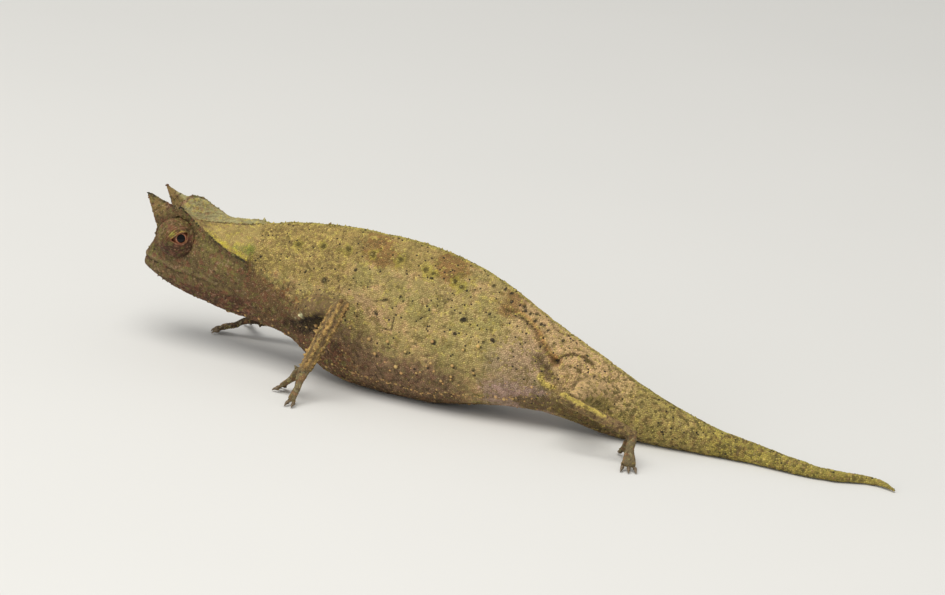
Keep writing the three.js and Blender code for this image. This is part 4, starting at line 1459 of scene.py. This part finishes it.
# %% The tables of colours
GROUND = ((0.49, 0.36, 0.145), (0.385, 0.315, 0.108), (0.53, 0.335, 0.17))
PAINT = [
    ("tail", (0.43, 0.335, 0.10), 0.8, 0.8),
    ("tail_end", (0.37, 0.295, 0.06), 0.85, 0.8),
    ("rump", (0.66, 0.44, 0.225), 0.7, 0.8),
    ("upper_back", (0.40, 0.285, 0.095), 0.75, 1.2),
    ("green_flank", (0.44, 0.365, 0.13), 0.5, 1.2),
    ("rear_flank", (0.42, 0.295, 0.19), 0.65, 0.9),
    # Partly own brown, partly painted shade of the underside.
    ("low_flank", (0.20, 0.115, 0.07), 0.88, 1.4),
    ("rear_low", (0.48, 0.32, 0.275), 0.75, 1.4),
    ("front_brown", (0.125, 0.062, 0.028), 0.87, 1.3),
    # Partly own colour, partly painted shade of the underside.
    ("under", (0.13, 0.075, 0.036), 0.85, 0.8),
    ("head_side", (0.168, 0.115, 0.047), 0.9, 0.5),
    ("temple", (0.20, 0.165, 0.05), 0.55, 1.2),
    ("nose", (0.17, 0.105, 0.05), 0.5, 0.6),
    ("throat", (0.105, 0.04, 0.02), 0.8, 0.9),
    ("lips", (0.27, 0.20, 0.09), 0.6, 0.6),
    ("horn", (0.32, 0.215, 0.075), 0.75, 0.8),
    ("orbit", (0.155, 0.10, 0.038), 0.7, 0.6),
    ("casque", (0.43, 0.325, 0.11), 0.95, 0.3),
    ("far_casque", (0.38, 0.355, 0.175), 0.85, 0.4),
    ("casque_green", (0.18, 0.23, 0.03), 0.75, 0.8),
    ("crest_gold", (0.64, 0.54, 0.045), 0.85, 0.5),
    ("roof_line", (0.06, 0.05, 0.02), 0.85, 0.4),
    ("upper_arm", (0.17, 0.105, 0.05), 0.85, 1.2),
    ("neck_dark", (0.10, 0.048, 0.02), 0.5, 2.0),
    ("olive_shoulder", (0.37, 0.265, 0.085), 0.75, 1.2),
    ("pink", (0.56, 0.37, 0.19), 0.7, 1.4),
    # Painted shade on the body under the shank.
    ("under_shank", (0.13, 0.085, 0.03), 0.85, 1.3),
    ("saddle", (0.26, 0.13, 0.04), 0.72, 1.8),
    ("back_lichen", (0.42, 0.36, 0.05), 0.6, 2.2),
    ("back_spots", (0.06, 0.045, 0.012), 0.85, 1.8),
    # Painted shade in the flank fold and the creases.
    ("fold", (0.10, 0.055, 0.02), 0.85, 0.6),
    # Golden rim above the fold: partly its own colour, partly painted highlight.
    ("fold_gold", (0.52, 0.30, 0.09), 0.7, 0.5),
    # Reddish at the end of the fold: partly its own colour, partly painted shade.
    ("fold_red", (0.34, 0.15, 0.045), 0.5, 0.6),
    # Painted shade under the thigh, in the groin.
    ("groin", (0.09, 0.055, 0.022), 0.7, 1.5),
    # Dark spots, with painted shade in the creases and painted shadows under the tubercles.
    ("dark_spots", (0.014, 0.011, 0.008), 0.92, 0.9),
    # The pit painted near black: painted shade in the recess.
    ("pit", (0.02, 0.008, 0.005), 0.97, 0.1),
    ("limb", (0.18, 0.11, 0.05), 0.86, 0.5),
    ("arm_rows", (0.50, 0.305, 0.10), 0.82, 1.4),
    # Golden shin band: partly its own colour, partly painted highlight.
    ("shin_gold", (0.62, 0.48, 0.11), 0.88, 0.9),
    # Painted shadow in the armpit and under the upper arm.
    ("armpit", (0.016, 0.007, 0.004), 0.98, 0.4),
    ("foot", (0.19, 0.15, 0.075), 0.85, 0.8),
    # The far front leg painted dark as painted shade.
    ("far_arm", (0.06, 0.035, 0.02), 0.9, 0.4),
    ("shoulder_pale", (0.95, 0.95, 0.55), 0.95, 0.5),
    ("ridge", (0.42, 0.38, 0.085), 0.6, 1.1),
    ("turret", (0.085, 0.042, 0.021), 1.0, 0.0),
    ("turret_olive", (0.165, 0.112, 0.034), 0.9, 0.8),
    # Painted shade in the hollows of the skin and the troughs of the turret wrinkles.
    ("hollow", (0.09, 0.06, 0.025), 0.45, 0.0),
    ("crest", (0.028, 0.027, 0.012), 0.95, 0.5),
    # socket: painted shade in the nostril, the mouth groove, the brow crease and at the foot of the turret.
    ("socket", (0.035, 0.024, 0.013), 0.85, 0.2),
    # Painted shade in the brow crease on the turret.
    ("lid_crease", (0.03, 0.02, 0.012), 0.85, 0.2),
    ("lid_yellow", (0.42, 0.38, 0.07), 0.8, 0.4),
    ("lid_gold", (0.48, 0.31, 0.06), 0.85, 0.2),
    ("lid_rim", (0.22, 0.08, 0.038), 0.85, 0.2),
]
MOTTLES = [
    ("speck", (0.60, 0.48, 0.12), 0.6, 2.1, 0.57),
    ("speck", (0.20, 0.15, 0.04), 0.7, 1.7, 0.575),
    ("low_flank", (0.07, 0.038, 0.022), 0.75, 2.2, 0.53),
    ("low_flank", (0.34, 0.22, 0.12), 0.6, 2.9, 0.57),
    ("under", (0.045, 0.025, 0.012), 0.7, 2.4, 0.5),
    ("under", (0.36, 0.22, 0.10), 0.7, 3.0, 0.57),
    ("mottled", (0.12, 0.10, 0.024), 0.7, 2.3, 0.53),
    ("olive_shoulder", (0.60, 0.46, 0.13), 0.5, 2.8, 0.55),
    ("olive_shoulder", (0.10, 0.052, 0.022), 0.42, 2.4, 0.56),
    ("casque", (0.56, 0.45, 0.09), 0.5, 1.6, 0.53),
    ("casque", (0.33, 0.21, 0.095), 0.5, 2.2, 0.55),
    ("temple", (0.29, 0.24, 0.065), 0.7, 2.1, 0.53),
    ("temple", (0.10, 0.06, 0.026), 0.65, 1.9, 0.54),
    ("throat", (0.25, 0.11, 0.07), 0.7, 2.0, 0.54),
    ("throat", (0.06, 0.03, 0.016), 0.7, 1.6, 0.54),
    ("limb", (0.36, 0.29, 0.08), 0.6, 2.9, 0.56),
    ("limb", (0.055, 0.03, 0.015), 0.6, 2.3, 0.54),
    ("arm_rows", (0.60, 0.43, 0.13), 0.55, 3.2, 0.56),
    ("foot", (0.27, 0.13, 0.055), 0.6, 1.8, 0.52),
    ("foot", (0.36, 0.33, 0.18), 0.5, 2.6, 0.57),
    ("brown_edge", (0.06, 0.03, 0.014), 0.65, 2.4, 0.54),
    ("brown_edge", (0.32, 0.12, 0.04), 0.5, 2.0, 0.56),
    ("brown_edge", (0.56, 0.38, 0.13), 0.65, 2.9, 0.55),
    ("turret", (0.27, 0.115, 0.07), 0.55, 1.7, 0.54),
    ("turret_olive", (0.065, 0.042, 0.018), 0.55, 3.3, 0.54),
    ("turret_olive", (0.32, 0.25, 0.09), 0.5, 3.8, 0.56),
    ("cheek", (0.22, 0.085, 0.045), 0.65, 1.5, 0.53),
    ("cheek", (0.20, 0.185, 0.05), 0.6, 1.9, 0.55),
    ("cheek", (0.07, 0.04, 0.02), 0.6, 2.3, 0.55),
    ("cheek", (0.36, 0.25, 0.14), 0.6, 3.0, 0.60),
]
print("markings:", len(PAINT), "blotches over them:", len(MOTTLES))

# %% Helpers for colours
NOISE_ROUGHNESS = 0.55
COLOUR, NUMBER, PLACE = "NodeSocketColor", "NodeSocketFloat", "NodeSocketVector"


def noise(tree, point, scale, detail=3):
    feeds = {"Vector": point, "Scale": scale, "Detail": detail, "Roughness": NOISE_ROUGHNESS}
    return add(tree, "ShaderNodeTexNoise", None, feeds)


def remap(tree, value, a, b, c, d, smooth=False):
    """Carries a value from the range a to b over to the range c to d."""
    settings = {"interpolation_type": "SMOOTHSTEP" if smooth else "LINEAR"}
    return add(tree, "ShaderNodeMapRange", settings, {0: value, 1: a, 2: b, 3: c, 4: d})


def blend(tree, part, first, second):
    """A colour between two, by a part from 0 to 1."""
    node = add(tree, "ShaderNodeMix", {"data_type": "RGBA"}).node
    tree.links.new(part, shown(node.inputs, "Factor"))
    for key, value in (("A", first), ("B", second)):
        feed(tree, shown(node.inputs, key), (*value, 1) if isinstance(value, tuple) else value)
    return shown(node.outputs, "Result")


def toned(tree, colour, value, hue=0.5):
    return add(tree, "ShaderNodeHueSaturation", None, {"Hue": hue, "Value": value, "Color": colour})


def kept(tree, name, out="Fac"):
    return add(tree, "ShaderNodeAttribute", {"attribute_name": name}, None, out)


def group(name, inputs, outputs):
    """An empty node group, its entry and its way out."""
    tree = bpy.data.node_groups.new(name, "ShaderNodeTree")
    for way, sockets in (("INPUT", inputs), ("OUTPUT", outputs)):
        for label, kind in sockets:
            tree.interface.new_socket(label, in_out=way, socket_type=kind)
    return tree, tree.nodes.new("NodeGroupInput"), tree.nodes.new("NodeGroupOutput")


print("sockets of the groups:", COLOUR, NUMBER, PLACE)

# %% The markings
DOT_COLOUR = (0.02, 0.016, 0.011)
THREAD_COLOUR = (0.12, 0.085, 0.03)

markings, entry, leave = group("markings", [("Point", PLACE)], [("Colour", COLOUR)])
in_mm = vector_maths(markings, "SCALE", {0: entry.outputs[0], "Scale": 1 / MM})
blotches = noise(markings, in_mm, 0.32)
patches = noise(markings, in_mm, 0.85, 4)
edges = noise(markings, in_mm, 1.6)
fine = noise(markings, in_mm, 3.2, 2)
colour = blend(markings, remap(markings, blotches, 0.38, 0.62, 0, 1, True), GROUND[0], GROUND[1])
colour = blend(markings, remap(markings, patches, 0.5, 0.66, 0, 0.7, True), colour, GROUND[2])
for name, tone, strength, ragged in PAINT:
    wander = remap(markings, edges, 0, 1, -ragged / 2, ragged / 2)
    edge = maths(markings, "ADD", kept(markings, name), wander)
    part = remap(markings, edge, 0.22, 0.78, 0, strength, True)
    colour = blend(markings, part, colour, tone)
for name, tone, strength, scale, start in MOTTLES:
    patch = remap(markings, noise(markings, in_mm, scale), start, start + 0.05, 0, strength, True)
    colour = blend(markings, maths(markings, "MULTIPLY", patch, kept(markings, name)), colour, tone)
print("markings laid over each other:", len(PAINT) + len(MOTTLES))

# %% Dots and threads over the markings
default_noise = add(markings, "ShaderNodeTexNoise", None, {"Vector": in_mm, "Scale": 2.5}, "Color")
shaken = vector_maths(markings, "MULTIPLY_ADD", {0: default_noise, 1: (0.4, 0.4, 0.4), 2: in_mm})
cells = add(markings, "ShaderNodeTexVoronoi", None, {"Vector": shaken, "Scale": 1.6}).node
own_chance = add(markings, "ShaderNodeSeparateColor", None, {0: shown(cells.outputs, "Color")}, "Red")
width = remap(markings, own_chance, 0.4, 1, 0, 0.19)
dot = maths(markings, "LESS_THAN", shown(cells.outputs, "Distance"), width)
dot = maths(markings, "MULTIPLY", maths(markings, "MULTIPLY", dot, kept(markings, "speck")), 0.92)
colour = blend(markings, dot, colour, DOT_COLOUR)
thread = maths(markings, "SUBTRACT", noise(markings, in_mm, 0.55, 4), 0.5)
thread = remap(markings, maths(markings, "ABSOLUTE", thread), 0.004, 0.014, 0.55, 0, True)
thread = maths(markings, "MULTIPLY", thread, kept(markings, "speck"))
colour = blend(markings, thread, colour, THREAD_COLOUR)
lift = remap(markings, patches, 0.3, 0.7, 0.8, 1.2)
lift = maths(markings, "ADD", lift, remap(markings, fine, 0.3, 0.7, -0.18, 0.18))
markings.links.new(toned(markings, colour, lift), leave.inputs["Colour"])
print("nodes in the markings:", len(markings.nodes))

# %% Helpers for materials
PEBBLES_PER_M = 6000.0
SCALE_GRAIN_PER_M = 14000.0
SKIN_DEPTH = 0.02


def call(tree, inner, feeds, out):
    node = tree.nodes.new("ShaderNodeGroup")
    node.node_tree = inner
    for key, value in feeds.items():
        tree.links.new(value, node.inputs[key])
    return node.outputs[out]


def material(name, shine=0.5):
    """A material, its node tree and its shader."""
    made = bpy.data.materials.new(name)
    made.use_nodes = True
    shader = made.node_tree.nodes["Principled BSDF"]
    shader.inputs["Specular IOR Level"].default_value = shine
    return made, made.node_tree, shader


def own_place(tree):
    return add(tree, "ShaderNodeTexCoord", None, None, "Object")


def bump(tree, shader, height, strength):
    """A bump as deep as the skin's grain, its depth in millimetres."""
    feeds = {"Height": height, "Strength": strength, "Distance": SKIN_DEPTH * MM}
    tree.links.new(add(tree, "ShaderNodeBump", None, feeds), shader.inputs["Normal"])


print("depth of the skin's grain in mm:", SKIN_DEPTH)

# %% Skin between the scales
skin_look, tree, shader = material("bare_skin", 0.25)
place = own_place(tree)
base = call(tree, markings, {"Point": place}, "Colour")
# The skin is darker than the markings: painted shade in the gaps between the scales.
tree.links.new(toned(tree, base, 0.74), shader.inputs["Base Color"])
pebbles = add(tree, "ShaderNodeTexVoronoi", None, {"Vector": place, "Scale": PEBBLES_PER_M}, "Distance")
bump(tree, shader, pebbles, 0.5)
tree.links.new(remap(tree, pebbles, 0, 0.6, 0.62, 0.8), shader.inputs["Roughness"])
print("material:", skin_look.name)

# %% Scales
PALE_COLOUR = (0.62, 0.5, 0.24)
SPECK_COLOUR = (0.012, 0.011, 0.008)
# Pale grain tops: partly the grains' own colour, partly painted highlight.
GRAIN_TOP_AND_HIGHLIGHT = (0.60, 0.37, 0.13)

gives = [("Colour", COLOUR), ("Roughness", NUMBER)]
paint, entry, leave = group("scale_paint", [("Colour", COLOUR)], gives)
tint = kept(paint, "tint")
luck = kept(paint, "luck")
# Darker towards the foot of each scale: painted shade in the gaps between the scales.
crown = remap(paint, kept(paint, "crown"), 0, 0.9, 0.71, 0.94)
level = maths(paint, "MULTIPLY", remap(paint, tint, 0, 1, 0.9, 1.1), crown)
tinted = toned(paint, entry.outputs[0], level, remap(paint, luck, 0, 1, 0.491, 0.509))
pale = maths(paint, "GREATER_THAN", luck, 0.94)
tinted = blend(paint, maths(paint, "MULTIPLY", pale, 0.14), tinted, PALE_COLOUR)
specks = maths(paint, "LESS_THAN", luck, maths(paint, "MULTIPLY", kept(paint, "speck"), 0.02))
tinted = blend(paint, maths(paint, "MULTIPLY", specks, 0.93), tinted, SPECK_COLOUR)
paint.links.new(tinted, leave.inputs["Colour"])
paint.links.new(remap(paint, tint, 0, 1, 0.62, 0.85), leave.inputs["Roughness"])


def scaly(name, shine, top=None):
    """A material for scales, with the colour of the markings at the root, and of the top if given: a paler
    top, partly the grain's own colour and partly painted highlight.
    """
    look, tree, shader = material(name, shine)
    own = call(tree, markings, {"Point": kept(tree, "root", "Vector")}, "Colour")
    if top:
        own = blend(tree, remap(tree, kept(tree, "crown"), 0.1, 0.8, 0.1, 0.8), own, top)
    for out, socket in (("Colour", "Base Color"), ("Roughness", "Roughness")):
        tree.links.new(call(tree, paint, {"Colour": own}, out), shader.inputs[socket])
    bump(tree, shader, noise(tree, own_place(tree), SCALE_GRAIN_PER_M, 2), 0.4)
    return look


scale_look = scaly("scales", 0.3)
grain_look = scaly("pale_grains", 0.35, GRAIN_TOP_AND_HIGHLIGHT)
print("materials:", scale_look.name, grain_look.name)

# %% Eye
IRIS = ((0.26, 0.085, 0.045), (0.54, 0.26, 0.15))
IRIS_EDGE = (0.17, 0.06, 0.028)
PUPIL = (0.0008, 0.0008, 0.001)

eye_look, tree, shader = material("eye", 0.2)
off = kept(tree, "off_axis")
threads = noise(tree, own_place(tree), 9000.0, 4)
ball = blend(tree, threads, *IRIS)
ball = blend(tree, remap(tree, off, 0.50, 0.58, 0, 1, True), ball, IRIS_EDGE)
ball = blend(tree, remap(tree, off, 0.40, 0.44, 1, 0, True), ball, PUPIL)
tree.links.new(ball, shader.inputs["Base Color"])
tree.links.new(remap(tree, threads, 0.3, 0.7, 0.05, 0.12), shader.inputs["Roughness"])
shader.inputs["Coat Weight"].default_value = 0.1
shader.inputs["Coat Roughness"].default_value = 0.03
print("material:", eye_look.name)

# %% Claw
CLAW_COLOURS = ((0.10, 0.07, 0.04), (0.20, 0.15, 0.095))

claw_look, tree, shader = material("claw", 0.25)
streaks = noise(tree, own_place(tree), 5000.0)
horn_colour = blend(tree, remap(tree, streaks, 0.35, 0.65, 0, 1, True), *CLAW_COLOURS)
tree.links.new(horn_colour, shader.inputs["Base Color"])
tree.links.new(remap(tree, streaks, 0.3, 0.7, 0.45, 0.6), shader.inputs["Roughness"])
bump(tree, shader, streaks, 0.3)
print("material:", claw_look.name)

# %% Floor
FLOOR_COLOURS = ((0.66, 0.665, 0.65), (0.70, 0.70, 0.685))

floor_look, tree, shader = material("floor")
cloudy = noise(tree, own_place(tree), 12.0)
tree.links.new(blend(tree, cloudy, *FLOOR_COLOURS), shader.inputs["Base Color"])
tree.links.new(remap(tree, cloudy, 0, 1, 0.8, 0.95), shader.inputs["Roughness"])
print("material:", floor_look.name)


# %% Put the materials on
def dress(look, *pieces):
    for piece in pieces:
        piece.data.materials.clear()
        piece.data.materials.append(look)


under = (skin, *horns.values(), *turrets.values())
dress(skin_look, *under)
for piece in under:
    only(piece)
    bpy.ops.object.shade_smooth()
for piece in coat:
    dress(grain_look if piece.name.startswith("grains") else scale_look, piece)
dress(eye_look, *eyes)
dress(claw_look, *claws)
dress(floor_look, floor)
print("pieces dressed:", len(under) + len(coat) + len(eyes) + len(claws))

# %% Finish
for piece in (*under, *eyes, *claws):
    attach(piece, "root")
for model in (granule, bead, spine):
    bpy.data.objects.remove(model)
